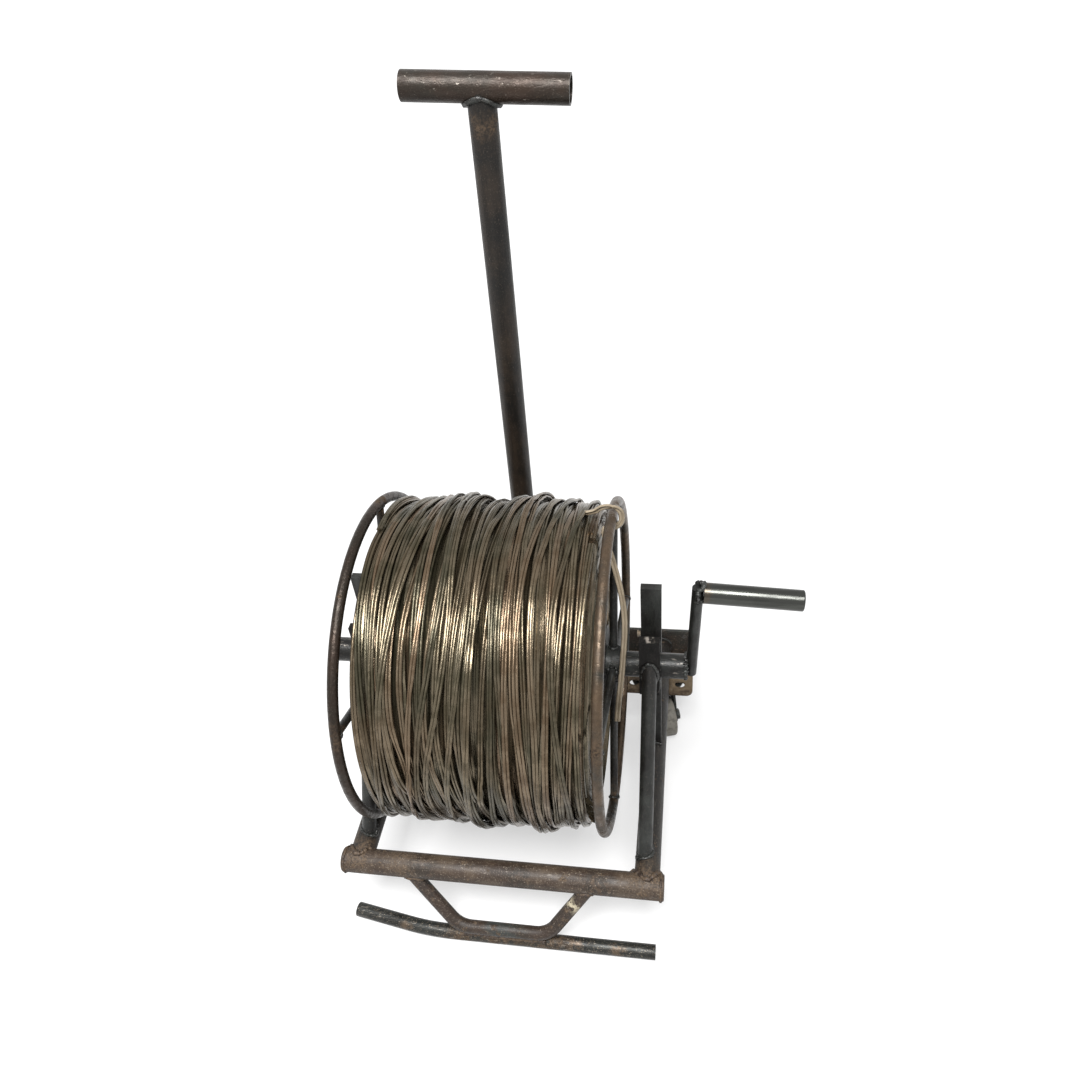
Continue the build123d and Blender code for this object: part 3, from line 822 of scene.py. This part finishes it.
def sheath_finish(name, clean=False):
    """Aged clear sheath over bright strands. Each turn has its own tone, from olive to copper to grey."""
    cable = bpy.context.scene.reel_cable
    recipe = Recipe(name, roughness=0.3, metallic=0.5, coat=0.06, specular=0.25)
    tree = recipe.tree
    place = tree.nodes.new("ShaderNodeAttribute")
    place.attribute_name = "strand"
    twisted = recipe.group("Strands", strands_group)
    tree.links.new(place.outputs["Vector"], twisted.inputs["Vector"])
    ridge = twisted.outputs["Ridge"]
    worn = recipe.patches(55.0, 0.40, 0.60)
    cloud = recipe.patches(13.0, 0.42, 0.66)
    dust = recipe.patches(60.0, 0.5, 0.75)
    shows = maths(tree, "MULTIPLY", recipe.level(ridge, 0.6, 1.0), recipe.level(worn, 0.3, 1.0))
    if clean:
        colour = recipe.mix(shows, cable.pale, dimmed(cable.pale, 1.35))
        colour = recipe.lay(dust, 0.4, colour, cable.olive)
        metallic = recipe.level(shows, 0.05, 0.25)
    else:
        tone = tree.nodes.new("ShaderNodeAttribute")
        tone.attribute_name = "turn"
        value = tone.outputs["Fac"]
        colour = recipe.mix(fade_between(tree, value, 0.50, 1.0), cable.olive, cable.copper)
        colour = recipe.mix(fade_between(tree, value, 0.18, 0.24), cable.grey, colour)
        colour = recipe.lay(cloud, 0.5, colour, cable.copper)
        bright = maths(tree, "MULTIPLY", shows, fade_between(tree, value, -0.2, 0.35))
        colour = recipe.lay(bright, 0.20, colour, cable.strand)
        colour = recipe.lay(dust, 0.3, colour, cable.olive)
        metallic = recipe.level(bright, 0.6, 1.0)
    relief = recipe.bump(ridge, 0.02, 0.7)
    relief = recipe.bump(recipe.patches(260.0, 0.3, 0.7), 0.09, 0.6, under=relief)
    roughness = recipe.level(dust, 0.24, 0.40)
    return recipe.drive(base_color=colour, roughness=roughness, metallic=metallic, normal=relief)


def looked_at(tree):
    """A mask that is 1 for what the camera sees, straight or mirrored in metal, and 0 for plain light."""
    rays = tree.nodes.new("ShaderNodeLightPath")
    direct = maths(tree, "MAXIMUM", rays.outputs["Is Camera Ray"], rays.outputs["Is Transmission Ray"])
    return maths(tree, "MAXIMUM", direct, rays.outputs["Is Glossy Ray"])


class REEL_OT_stage(bpy.types.Operator):
    """Add the floor, the lamps, the room light and the camera at the photograph's view"""
    bl_idname = "reel.stage"
    bl_label = "Stage"

    def execute(self, context):
        stage = context.scene.reel_stage
        clear_selection()
        bpy.ops.mesh.primitive_plane_add(size=60.0, location=(0, 0, 0))
        floor = context.active_object
        floor.name = "floor"
        material = bpy.data.materials.new("pale floor")
        material.use_nodes = True
        tree = material.node_tree
        shader = node_of_type(tree, "BSDF_PRINCIPLED")
        shader.inputs["Base Color"].default_value = (*stage.floor_colour, 1.0)
        shader.inputs["Roughness"].default_value = 0.9
        shader.inputs["Specular IOR Level"].default_value = 0.1
        shader.inputs["Emission Color"].default_value = (1.0, 1.0, 1.0, 1.0)
        place = tree.nodes.new("ShaderNodeTexCoord").outputs["Object"]
        away = tree.nodes.new("ShaderNodeVectorMath")
        away.operation = "LENGTH"
        tree.links.new(place, away.inputs[0])
        glow = tree.nodes.new("ShaderNodeMapRange")
        for key, number in FLOOR_GLOW.items():
            glow.inputs[key].default_value = number
        tree.links.new(away.outputs["Value"], glow.inputs["Value"])
        seen = maths(tree, "MULTIPLY", looked_at(tree), glow.outputs["Result"])
        tree.links.new(seen, shader.inputs["Emission Strength"])
        floor.data.materials.append(material)

        world = bpy.data.worlds.new("room")
        context.scene.world = world
        world.use_nodes = True
        tree = world.node_tree
        background = node_of_type(tree, "BACKGROUND")
        background.inputs["Color"].default_value = (1.0, 1.0, 1.0, 1.0)
        strength = tree.nodes.new("ShaderNodeMapRange")
        tree.links.new(looked_at(tree), strength.inputs["Value"])
        strength.inputs["To Min"].default_value = stage.sky
        strength.inputs["To Max"].default_value = 1.0
        tree.links.new(strength.outputs["Result"], background.inputs["Strength"])

        lamps = (("key lamp", stage.key_power, KEY_LAMP), ("front fill", stage.fill_power, FRONT_FILL))
        for name, power, (size, place, aim) in lamps:
            bpy.ops.object.light_add(type="AREA", location=place)
            lamp = context.active_object
            lamp.name = name
            lamp.data.energy = power
            lamp.data.shape = "RECTANGLE"
            lamp.data.size, lamp.data.size_y = size
            lamp.rotation_euler = (Vector(aim) - Vector(place)).to_track_quat("-Z", "Y").to_euler()

        bpy.ops.object.camera_add()
        camera = context.active_object
        camera.name = "camera"
        camera.data.lens = CAMERA_LENS
        camera.data.sensor_width = CAMERA_SENSOR
        camera.data.clip_start = 0.01
        turn = Matrix.Rotation(radians(CAMERA_TURN), 4, "Z") @ Matrix.Rotation(radians(CAMERA_TILT), 4, "X")
        turn = turn @ Matrix.Rotation(radians(CAMERA_ROLL), 4, "Z")
        camera.matrix_world = Matrix.Translation(MIDDLE + Vector(CAMERA_PLACE)) @ turn
        context.scene.camera = camera
        context.scene.view_settings.view_transform = "Standard"
        clear_selection()
        return {"FINISHED"}


class REEL_OT_loose_end(bpy.types.Operator):
    """Hitch the cable's loose end round the crank-side ring and let it hang"""
    bl_idname = "reel.loose_end"
    bl_label = "Loose end"

    def execute(self, context):
        cable = context.scene.reel_cable
        route = new_curve("route", [at(*point) for point in LOOSE_END], kind="NURBS")
        route.data.splines[0].resolution_u = 12
        line = bpy.data.meshes.new_from_object(route)
        path = [vertex.co.copy() for vertex in line.vertices]
        bpy.data.objects.remove(route)
        outline = twin_outline(cable.width, cable.lobe)
        vertices = []
        faces = []
        across = Vector((1, 0, 0))
        for i, point in enumerate(path):
            ahead = path[min(i + 1, len(path) - 1)] - path[max(i - 1, 0)]
            ahead.normalize()
            across = (across - ahead * across.dot(ahead)).normalized()
            flat_on = (Vector((1, 0, 0)) - ahead * ahead.x).normalized()
            if across.dot(flat_on) < 0:
                flat_on = -flat_on
            across = across.lerp(flat_on, 0.12).normalized()
            flat = ahead.cross(across)
            for x, y in outline:
                vertices.append(point + flat * x + across * y)
        ring = len(outline)
        for i in range(len(path) - 1):
            for j in range(ring):
                k = (j + 1) % ring
                faces.append((i * ring + j, i * ring + k, (i + 1) * ring + k, (i + 1) * ring + j))
        faces.append(tuple(range(ring)))
        faces.append(tuple((len(path) - 1) * ring + j for j in reversed(range(ring))))
        mesh = bpy.data.meshes.new("cable_loose_end")
        mesh.from_pydata([tuple(v) for v in vertices], [], faces)
        along = [0.0]
        for first, second in zip(path, path[1:]):
            along.append(along[-1] + (second - first).length * 1000)
        mark_strands(mesh, outline, cable.lobe, along)
        obj = bpy.data.objects.new("cable_loose_end", mesh)
        context.scene.collection.objects.link(obj)
        finished(obj, "drum", sheath_finish("clean sheath", clean=True))
        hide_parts("cable_tail")
        return {"FINISHED"}


class REEL_OT_winding(bpy.types.Operator):
    """Wind the drum with twin-core cable, the outer turns crossing and climbing one another"""
    bl_idname = "reel.winding"
    bl_label = "Winding"

    def execute(self, context):
        cable = context.scene.reel_cable
        rng = random.Random(cable.seed + 1)
        layers = lay_turns(cable)
        sheath = sheath_finish("aged sheath")
        plain = twin_outline(cable.width, cable.lobe, fine=False)
        round_section = twin_outline(cable.width, cable.lobe)
        lower = [turns_mesh("turns", layer, plain, cable.lobe, rng) for layer in layers[:2]]
        outer = [turns_mesh("turns", layer, round_section, cable.lobe, rng) for layer in layers[2:]]
        lower = finished(joined(lower, "cable_turns_lower"), "drum", sheath)
        finished(joined(outer, "cable_turns_outer"), "drum", sheath)
        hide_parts("cable_winding")
        return {"FINISHED"}


class REEL_OT_winding_sides(bpy.types.Operator):
    """Fill the drum under the outer turns, and show each layer's turns on both flanks"""
    bl_idname = "reel.winding_sides"
    bl_label = "Winding sides"

    def execute(self, context):
        cable = context.scene.reel_cable
        rng = random.Random(cable.seed + 2)
        sheath = bpy.data.materials["aged sheath"]
        outline = twin_outline(cable.width, cable.lobe, fine=False)
        flanks = []
        for end, sign in ((WINDING_ENDS[0], 1), (WINDING_ENDS[1], -1)):
            turns = []
            radius = CORE_RADIUS + FLANK_INSET
            number = 0
            while radius < cable.base_radius * 1000 + 3.0:
                inset = rng.uniform(0.0, 2.6)
                sway = rng.uniform(0.0, 1.2)
                start = rng.uniform(0, 2 * pi)
                turn = []
                for i in range(FLANK_STEPS):
                    angle = 2 * pi * i / FLANK_STEPS
                    x = end + sign * (FLANK_INSET + inset + sway * sin(angle + start))
                    turn.append((angle, x, radius + FLANK_PITCH * i / FLANK_STEPS, 0.0, number))
                turns.append(turn)
                radius += FLANK_PITCH
                number += 1
            flanks.append(turns_mesh("flank", turns, outline, cable.lobe, rng))
        for start in FOLD_STARTS:
            fold = []
            for ahead, out, rise in FOLD:
                angle = radians(start + ahead + rng.uniform(-0.3, 0.3))
                radius = FOLD_RADIUS + rise + rng.uniform(-1, 1)
                fold.append((angle, WINDING_ENDS[1] + out, radius, 0.0, 0))
            flanks.append(turns_mesh("fold", [fold], outline, cable.lobe, rng))
        finished(joined(flanks, "cable_turns_flanks"), "drum", sheath)

        clear_selection()
        low, high = WINDING_ENDS[0] + 5.0, WINDING_ENDS[1] - 5.0
        inner, outer = CORE_RADIUS + 0.5, cable.base_radius * 1000 - 1.0
        mesh = bpy.data.meshes.new("cable_packing")
        corners = [at(low, 0, inner), at(high, 0, inner), at(high, 0, outer), at(low, 0, outer)]
        mesh.from_pydata([tuple(c) for c in corners], [(0, 1), (1, 2), (2, 3), (3, 0)], [])
        packing = bpy.data.objects.new("cable_packing", mesh)
        context.scene.collection.objects.link(packing)
        select_only(packing)
        bpy.ops.object.mode_set(mode="EDIT")
        bpy.ops.mesh.select_all(action="SELECT")
        bpy.ops.mesh.subdivide(number_cuts=12)
        bpy.ops.mesh.spin(steps=72, angle=2 * pi, center=tuple(MIDDLE), axis=(1, 0, 0))
        bpy.ops.object.mode_set(mode="OBJECT")
        finished(packing, "drum", sheath)
        return {"FINISHED"}


def weld_finish(name, colour, tint, gloss):
    """A bead's own skin: dark and glossy, or dry and brown, with fine ripples."""
    recipe = Recipe(name, roughness=gloss, metallic=0.35)
    patch = recipe.patches(160.0, 0.42, 0.6)
    pitted = recipe.group("Pitted skin", pitting_group, scale=1300.0)
    bare = bpy.context.scene.reel_steel.bare
    mixed = recipe.mix(patch, colour, tint)
    mixed = recipe.lay(pitted.outputs["Speck"], 0.5, mixed, bare)
    relief = recipe.bump(pitted.outputs["Height"], 0.35, 0.8)
    return recipe.drive(base_color=mixed, roughness=recipe.level(patch, gloss, gloss + 0.25), normal=relief)


class REEL_OT_frame_welds(bpy.types.Operator):
    """Run the weld beads that hold the tube frame, the forks and the foot together"""
    bl_idname = "reel.frame_welds"
    bl_label = "Frame welds"

    def execute(self, context):
        colours = context.scene.reel_steel
        crossbar = ((0, CROSSBAR_Y, RAIL_Z), (1, 0, 0), TUBE)
        beads = []
        dark = []
        for n, side in enumerate(SIDES):
            rail = RAIL_X[side]
            fork = FORK_X[side]
            line = saddle((rail, CROSSBAR_Y, RAIL_Z), (0, 1, 0), TUBE + BEAD_LIFT, *crossbar)
            beads.append(weld_bead(line, 2.6, seed=10 + n))
            line = circle((CROSSBAR_END[side], CROSSBAR_Y, RAIL_Z), (1, 0, 0), TUBE - 0.2)
            beads.append(weld_bead(line, 1.2, seed=20 + n))
            top, foot = Vector(LEG_TOP[side]), Vector(LEG_FOOT[side])
            line = saddle(top, foot - top, LEG_RADIUS + BEAD_LIFT, *crossbar)
            beads.append(weld_bead(line, 2.2, seed=30 + n))
            line = circle((rail, ANGLE_Y - 0.8, RAIL_Z), (0, 1, 0), TUBE + 0.4)
            dark.append(weld_bead(line, 2.0, seed=40 + n))
            rail_line = ((rail, 0, RAIL_Z), (0, 1, 0), TUBE)
            foot = Vector((fork, STRUT_FOOT_Y, RAIL_Z))
            head = Vector((fork, -FORK_OUTER, STRUT_TOP))
            line = saddle(foot, head - foot, STRUT_RADIUS + 0.5, *rail_line)
            dark.append(weld_bead(line, 1.9, seed=50 + n))
            slope = (head - foot).normalized()
            flat = []
            for point in circle(head, slope, STRUT_RADIUS + 0.4):
                flat.append(point + slope * ((-FORK_OUTER - BEAD_LIFT - point.y) / slope.y))
            dark.append(weld_bead(flat, 2.0, seed=60 + n))
            for y, seed in ((FORK_INNER - 0.8, 70), (FORK_OUTER + 0.8, 74)):
                seam = []
                for k in range(9):
                    x = fork - FORK_HALF + k * FORK_HALF / 4
                    seam.append((x, y, RAIL_Z + sqrt(max(TUBE ** 2 - (x - rail) ** 2, 4.0)) + BEAD_LIFT))
                dark.append(weld_bead(seam, 2.0, closed=False, seed=seed + n))
            for y, sign in ((FORK_INNER, 1), (-FORK_INNER, -1)):
                for x in (fork - FORK_HALF + BEAD_LIFT, fork + FORK_HALF - BEAD_LIFT):
                    seam = [(x, y - sign * BEAD_LIFT, z) for z in SEAT_WELD]
                    dark.append(weld_bead(seam, 1.3, closed=False, seed=80 + n))
            for x in (rail - 6.0, rail + 6.0):
                seam = [(x, y, PLATE_WELD_Z) for y in PLATE_WELD_Y]
                dark.append(weld_bead(seam, 1.8, closed=False, seed=84 + n))
        y, z = FOOT_SEAM
        for sign, seed in ((-1, 90), (1, 91)):
            seam = [(x, y + sign * off, z) for x, off in zip(FOOT_SEAM_X, (4.2, 4.4, 4.2))]
            beads.append(weld_bead(seam, 2.5, closed=False, seed=seed))
        foot = Vector(SHAFT_FOOT)
        dark.append(weld_bead(circle(foot, (0, 0, 1), TUBE + BEAD_LIFT), 2.3, seed=95))
        tilt = radians(GRIP_TILT)
        line = []
        for k in range(36):
            x, y = HANDLE_BEAD[0] * cos(radians(10 * k)), HANDLE_BEAD[1] * sin(radians(10 * k))
            line.append(Vector(SHAFT_TOP) + Vector((x, y, -sqrt(TUBE ** 2 - y ** 2) - x * sin(tilt))))
        handle = weld_bead(line, 3.2, seed=96, ripple=0.03, lumps=0.05)
        brown = weld_finish("brown weld", colours.brown, colours.rust, 0.45)
        black = weld_finish("dark weld", colours.black, colours.slate, 0.28)
        finished(joined(beads, "foot_welds"), "frame", brown)
        finished(joined(dark, "frame_welds"), "frame", black)
        finished(joined([handle], "handle_weld"), "frame", black)
        return {"FINISHED"}


class REEL_OT_tie_wire(bpy.types.Operator):
    """Hook the scrap of bright tie wire over the crank-side fork, by the axle"""
    bl_idname = "reel.tie_wire"
    bl_label = "Tie wire"

    def execute(self, context):
        loops = []
        x, y, z = TIE_WIRE
        for k in range(TIE_WIRE_POINTS):
            angle = 2 * pi * k / TIE_WIRE_STEPS
            reach = TIE_WIRE_COIL - TIE_WIRE_SHRINK * k
            loops.append(at(x + TIE_WIRE_PITCH * k, y + reach * cos(angle), z + reach * sin(angle)))
        wire = new_curve("tie_wire", loops)
        wire.data.bevel_depth = TIE_WIRE_RADIUS / 1000
        wire.data.bevel_resolution = 2
        wire.data.use_fill_caps = True
        colours = context.scene.reel_steel
        bright = weld_finish("tie wire", colours.bare, colours.zinc, 0.3)
        finished(made_mesh(wire), "frame", bright)
        return {"FINISHED"}


class REEL_OT_drum_welds(bpy.types.Operator):
    """Run the weld beads of the spokes, hubs and crank"""
    bl_idname = "reel.drum_welds"
    bl_label = "Drum welds"

    def execute(self, context):
        beads = []
        for n, side in enumerate(SIDES):
            x = FLANGE_X[side]
            for number in range(4):
                out = spoke_direction(number)
                middle = Vector((x, 0, 0))
                rim = middle + out * RING_RADIUS
                tangent = Vector((1, 0, 0)).cross(out)
                line = saddle(rim, -out, SPOKE_RADIUS + 0.4, rim, tangent, RING_BAR)
                beads.append(weld_bead(line, 1.5, seed=100 + 8 * n + number))
                line = saddle(middle, out, SPOKE_RADIUS + 0.4, middle, (1, 0, 0), HUB_RADIUS)
                beads.append(weld_bead(line, 2.1, ripple=0.35, seed=120 + 8 * n + number))
            for face in (x - HUB_HALF - 0.2, x + HUB_HALF + 0.2):
                beads.append(weld_bead(circle((face, 0, 0), (1, 0, 0), TUBE + 1.4), 1.7, seed=140 + n))
        beads.append(weld_bead(circle((AXLE_END + 0.3, 0, 0), (1, 0, 0), 11.6), 2.0, ripple=0.3, seed=150))
        lean = radians(ARM_LEAN)
        droop = radians(CRANK_GRIP_DROOP)
        up = Vector((sin(lean), 0, cos(lean)))
        start = Vector((ARM_X, 0, 0)) + up * CRANK_GRIP_HEIGHT
        line = saddle(start, (cos(droop), 0, -sin(droop)), CRANK_GRIP_RADIUS - 1.0, start, up, ARM_RADIUS)
        beads.append(weld_bead(line, 2.0, ripple=0.3, seed=151))
        finished(joined(beads, "drum_welds"), "drum", bpy.data.materials["dark weld"])
        return {"FINISHED"}


def dress(material, *nodes):
    """Give CAD nodes a material."""
    for node in nodes:
        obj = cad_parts[node]
        if not obj.material_slots:
            obj.data.materials.append(material)
        for slot in obj.material_slots:
            slot.material = material


class REEL_OT_frame_finish(bpy.types.Operator):
    """Paint, rust and rub the tube frame, the forks, the handle and the foot"""
    bl_idname = "reel.frame_finish"
    bl_label = "Frame finish"

    def execute(self, context):
        c = context.scene.reel_steel
        corners = [((RAIL_X[side], CROSSBAR_Y, RAIL_Z), 34.0) for side in SIDES]
        legs = [(LEG_TOP[side], 26.0) for side in SIDES]
        worn = [((x, -160.0, -150.0), 24.0, c.rust_dark) for x in (-70.0, 30.0, 110.0)]
        dress(steel("crossbar steel", c.brown, c.earth, rust_low=0.60, rub_low=0.645, stretch=(0.25, 1, 1),
                    welds=corners + legs, specks=0.7, scrapes=worn),
              "front_crossbar", "crossbar_cap_left", "crossbar_cap_right")
        dress(steel("rail steel", c.black, c.black_dusty, rust_low=0.60, rub_low=0.66, stretch=(1, 0.25, 1),
                    welds=corners),
              "rail_left", "rail_right")
        paints = [((84.0, -164.0, -180.0), 12.0, c.cream), ((-70.0, -160.0, -178.0), 16.0, c.black),
                  ((10.0, -181.0, -208.0), 26.0, c.slate)]
        dress(steel("leg steel", c.brown, c.rust_dark, rust_low=0.56, rub_low=0.66, stretch=(0.3, 1, 1),
                    welds=legs, specks=0.5, scrapes=paints),
              "foot_leg")
        seam = [((x, -181.0, -229.0), 40.0) for x in (-26.0, 12.0, 48.0)]
        dust = [((x, -186.0, -224.0), 11.0, c.earth) for x in (-96.0, 84.0, 128.0)]
        dress(steel("foot steel", c.slate, c.black, rust_low=0.66, rub_low=0.61, stretch=(0.2, 1, 1),
                    welds=seam, rough=0.32, shine=0.4, specks=0.9, scrapes=dust),
              "foot_bar")
        dress(steel("angle steel", c.slate, c.brown, rust_low=0.60, stretch=(0.4, 1, 1), rough=0.5,
                    specks=0.6),
              "rear_crossbar")
        for side in SIDES:
            dress(steel(f"fork steel {side}", c.black, c.slate, rust_low=0.68, rub_low=0.68,
                        stretch=(1, 1, 0.3), rough=0.34, specks=0.15),
                  f"fork_rear_{side}", f"strut_{side}", f"axle_seat_{side}")
            # The front flats take black under black dust where the rear forks have slate: painted shade, for
            # front faces that stand in shadow. The bright bare patch on each flat's top edge is partly rubbed
            # steel and partly a painted highlight where the top faces the lamp.
            top = [((FORK_X[side], -FORK_OUTER + 4, FRONT_FLAT_TOP + 4), 8.0, c.bare)]
            dress(steel(f"front flat steel {side}", c.black, c.black, rust_low=0.70, rub_low=0.68,
                        stretch=(1, 1, 0.3), specks=0.1, scrapes=top, sheen=0.12),
                  f"fork_front_{side}")
        ends = [((4.0, 190.2, 466.0), 20.0), ((-6.3, 190.2, -160.0), 30.0)]
        dress(steel("shaft steel", c.black, c.rust_dark, rust_low=0.68, rub_low=0.69, stretch=(1, 1, 0.12),
                    welds=ends, rough=0.34, specks=0.12, sheen=0.22),
              "handle_shaft")
        dress(steel("handle grip steel", c.brown, c.black_dusty, rust_low=0.70, rub_low=0.63,
                    stretch=(0.4, 1, 1), rough=0.3, shine=0.45, specks=0.15),
              "handle_grip")
        return {"FINISHED"}


class REEL_OT_drum_finish(bpy.types.Operator):
    """Finish the rings, spokes, hubs, axle and crank"""
    bl_idname = "reel.drum_finish"
    bl_label = "Drum finish"

    def execute(self, context):
        c = context.scene.reel_steel
        # The right ring's lighter coat, rust under slate dust, is partly its rust and partly a painted
        # highlight for the bright streak the lamp lays along it. The left ring keeps brown under dusty black.
        coats = {"left": (c.brown, c.black_dusty), "right": (c.rust, c.slate)}
        for side in SIDES:
            x = FLANGE_X[side]
            tips = [Vector((x, 0, 0)) + spoke_direction(k) * RING_RADIUS for k in range(4)]
            zones = [(tuple(tip), 20.0) for tip in tips] + [((x, -30.0, -162.0), 46.0)]
            dress(steel(f"ring steel {side}", *coats[side], rub_low=0.68, welds=zones, rough=0.26, shine=0.6,
                        specks=0.15),
                  f"flange_ring_{side}")
            dress(steel(f"spoke steel {side}", c.black, c.slate, rust_low=0.68, rub_low=0.68, welds=zones,
                        rough=0.34),
                  *[f"spoke_{side}_{k + 1}" for k in range(4)], f"hub_{side}")
        dress(steel("axle steel", c.black, c.slate, rust_low=0.68, rub_low=0.60, stretch=(0.3, 1, 1),
                    rough=0.28, shine=0.3, specks=0.1),
              "axle", "drum_core")
        dress(steel("crank arm steel", c.black, c.slate, rust_low=0.70, rub_low=0.66, stretch=(1, 1, 0.3),
                    rough=0.28, shine=0.2, specks=0.1),
              "crank_arm")
        recipe = Recipe("hand-polished steel", roughness=0.2, metallic=1.0)
        turned = recipe.patches(260.0, 0.35, 0.7, (0.12, 1, 1))
        stain = recipe.patches(45.0, 0.58, 0.72)
        colour = recipe.mix(turned, c.polished, dimmed(c.polished, 0.7))
        colour = recipe.lay(stain, 0.5, colour, c.black)
        near = recipe.round_point((ARM_X + 6, 0, CRANK_GRIP_HEIGHT), 16.0)
        colour = recipe.lay(near, 0.8, colour, c.rust)
        pitted = recipe.group("Pitted skin", pitting_group, scale=900.0)
        relief = recipe.bump(pitted.outputs["Height"], 0.12, 0.4)
        roughness = recipe.level(recipe.most([turned, near]), 0.17, 0.32)
        dress(recipe.drive(base_color=colour, roughness=roughness, normal=relief), "crank_grip")
        return {"FINISHED"}


class REEL_OT_caster_finish(bpy.types.Operator):
    """Finish the casters: zinc plates and forks with rust at their edges, and dusty wheels"""
    bl_idname = "reel.caster_finish"
    bl_label = "Caster finish"

    def execute(self, context):
        c = context.scene.reel_steel
        edges = [((RAIL_X[side] + dx, PLATE_Y - 36.0, -168.0), 30.0) for side in SIDES for dx in (-30, 14)]
        dress(steel("zinc plate", c.zinc, c.brown, rust_low=0.60, rub_low=0.60, welds=edges, rough=0.4,
                    shine=0.5),
              *[f"caster_plate_{side}" for side in SIDES])
        dress(steel("caster fork zinc", c.slate, c.black, rust_low=0.60, shine=0.4),
              *[f"caster_{part}_{side}" for part in ("fork", "kingpin", "pin") for side in SIDES])
        recipe = Recipe("dusty wheel", roughness=0.7)
        scuff = recipe.patches(120.0, 0.45, 0.62)
        chips = recipe.patches(420.0, 0.60, 0.68)
        colour = recipe.mix(scuff, c.rubber, dimmed(c.rubber, 0.62))
        colour = recipe.mix(chips, colour, dimmed(c.rubber, 0.35))
        pitted = recipe.group("Pitted skin", pitting_group, scale=700.0)
        relief = recipe.bump(pitted.outputs["Height"], 0.3, 0.6)
        relief = recipe.bump(chips, -0.4, 0.7, under=relief)
        dress(recipe.drive(base_color=colour, roughness=recipe.level(scuff, 0.62, 0.8), normal=relief),
              *[f"caster_wheel_{side}" for side in SIDES])
        return {"FINISHED"}


class REEL_PT_panel(bpy.types.Panel):
    """The reel's steps, in order, with their settings"""
    bl_label = "Cable Reel"
    bl_idname = "REEL_PT_panel"
    bl_space_type = "VIEW_3D"
    bl_region_type = "UI"
    bl_category = "Cable Reel"

    def draw(self, context):
        layout = self.layout
        for title, group, steps in PANEL_ROWS:
            box = layout.box()
            box.label(text=title)
            settings = getattr(context.scene, group)
            for name in settings.bl_rna.properties.keys():
                if name not in ("rna_type", "name"):
                    box.prop(settings, name)
            for step in steps:
                box.operator(step)


PANEL_ROWS = (
    ("Stage", "reel_stage", ("reel.stage",)),
    ("Cable", "reel_cable", ("reel.loose_end", "reel.winding", "reel.winding_sides")),
    ("Steel", "reel_steel", ("reel.frame_finish", "reel.drum_finish", "reel.caster_finish",
                             "reel.frame_welds", "reel.drum_welds", "reel.tie_wire")),
)
SETTINGS = (("reel_stage", ReelStage), ("reel_cable", ReelCable), ("reel_steel", ReelSteel))
CLASSES = (
    ReelStage, ReelCable, ReelSteel,
    REEL_OT_stage, REEL_OT_loose_end, REEL_OT_winding, REEL_OT_winding_sides, REEL_OT_frame_welds,
    REEL_OT_tie_wire, REEL_OT_drum_welds, REEL_OT_frame_finish, REEL_OT_drum_finish,
    REEL_OT_caster_finish, REEL_PT_panel,
)


def register():
    for cls in CLASSES:
        bpy.utils.register_class(cls)
    for name, group in SETTINGS:
        setattr(bpy.types.Scene, name, bpy.props.PointerProperty(type=group))


def unregister():
    for name, _ in SETTINGS:
        delattr(bpy.types.Scene, name)
    for cls in reversed(CLASSES):
        bpy.utils.unregister_class(cls)


def main():
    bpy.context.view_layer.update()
    register()
    bpy.ops.reel.stage()
    bpy.ops.reel.loose_end()
    bpy.ops.reel.winding()
    bpy.ops.reel.winding_sides()
    bpy.ops.reel.frame_finish()
    bpy.ops.reel.drum_finish()
    bpy.ops.reel.caster_finish()
    bpy.ops.reel.frame_welds()
    bpy.ops.reel.drum_welds()
    bpy.ops.reel.tie_wire()


if __name__ == "__main__":
    main()
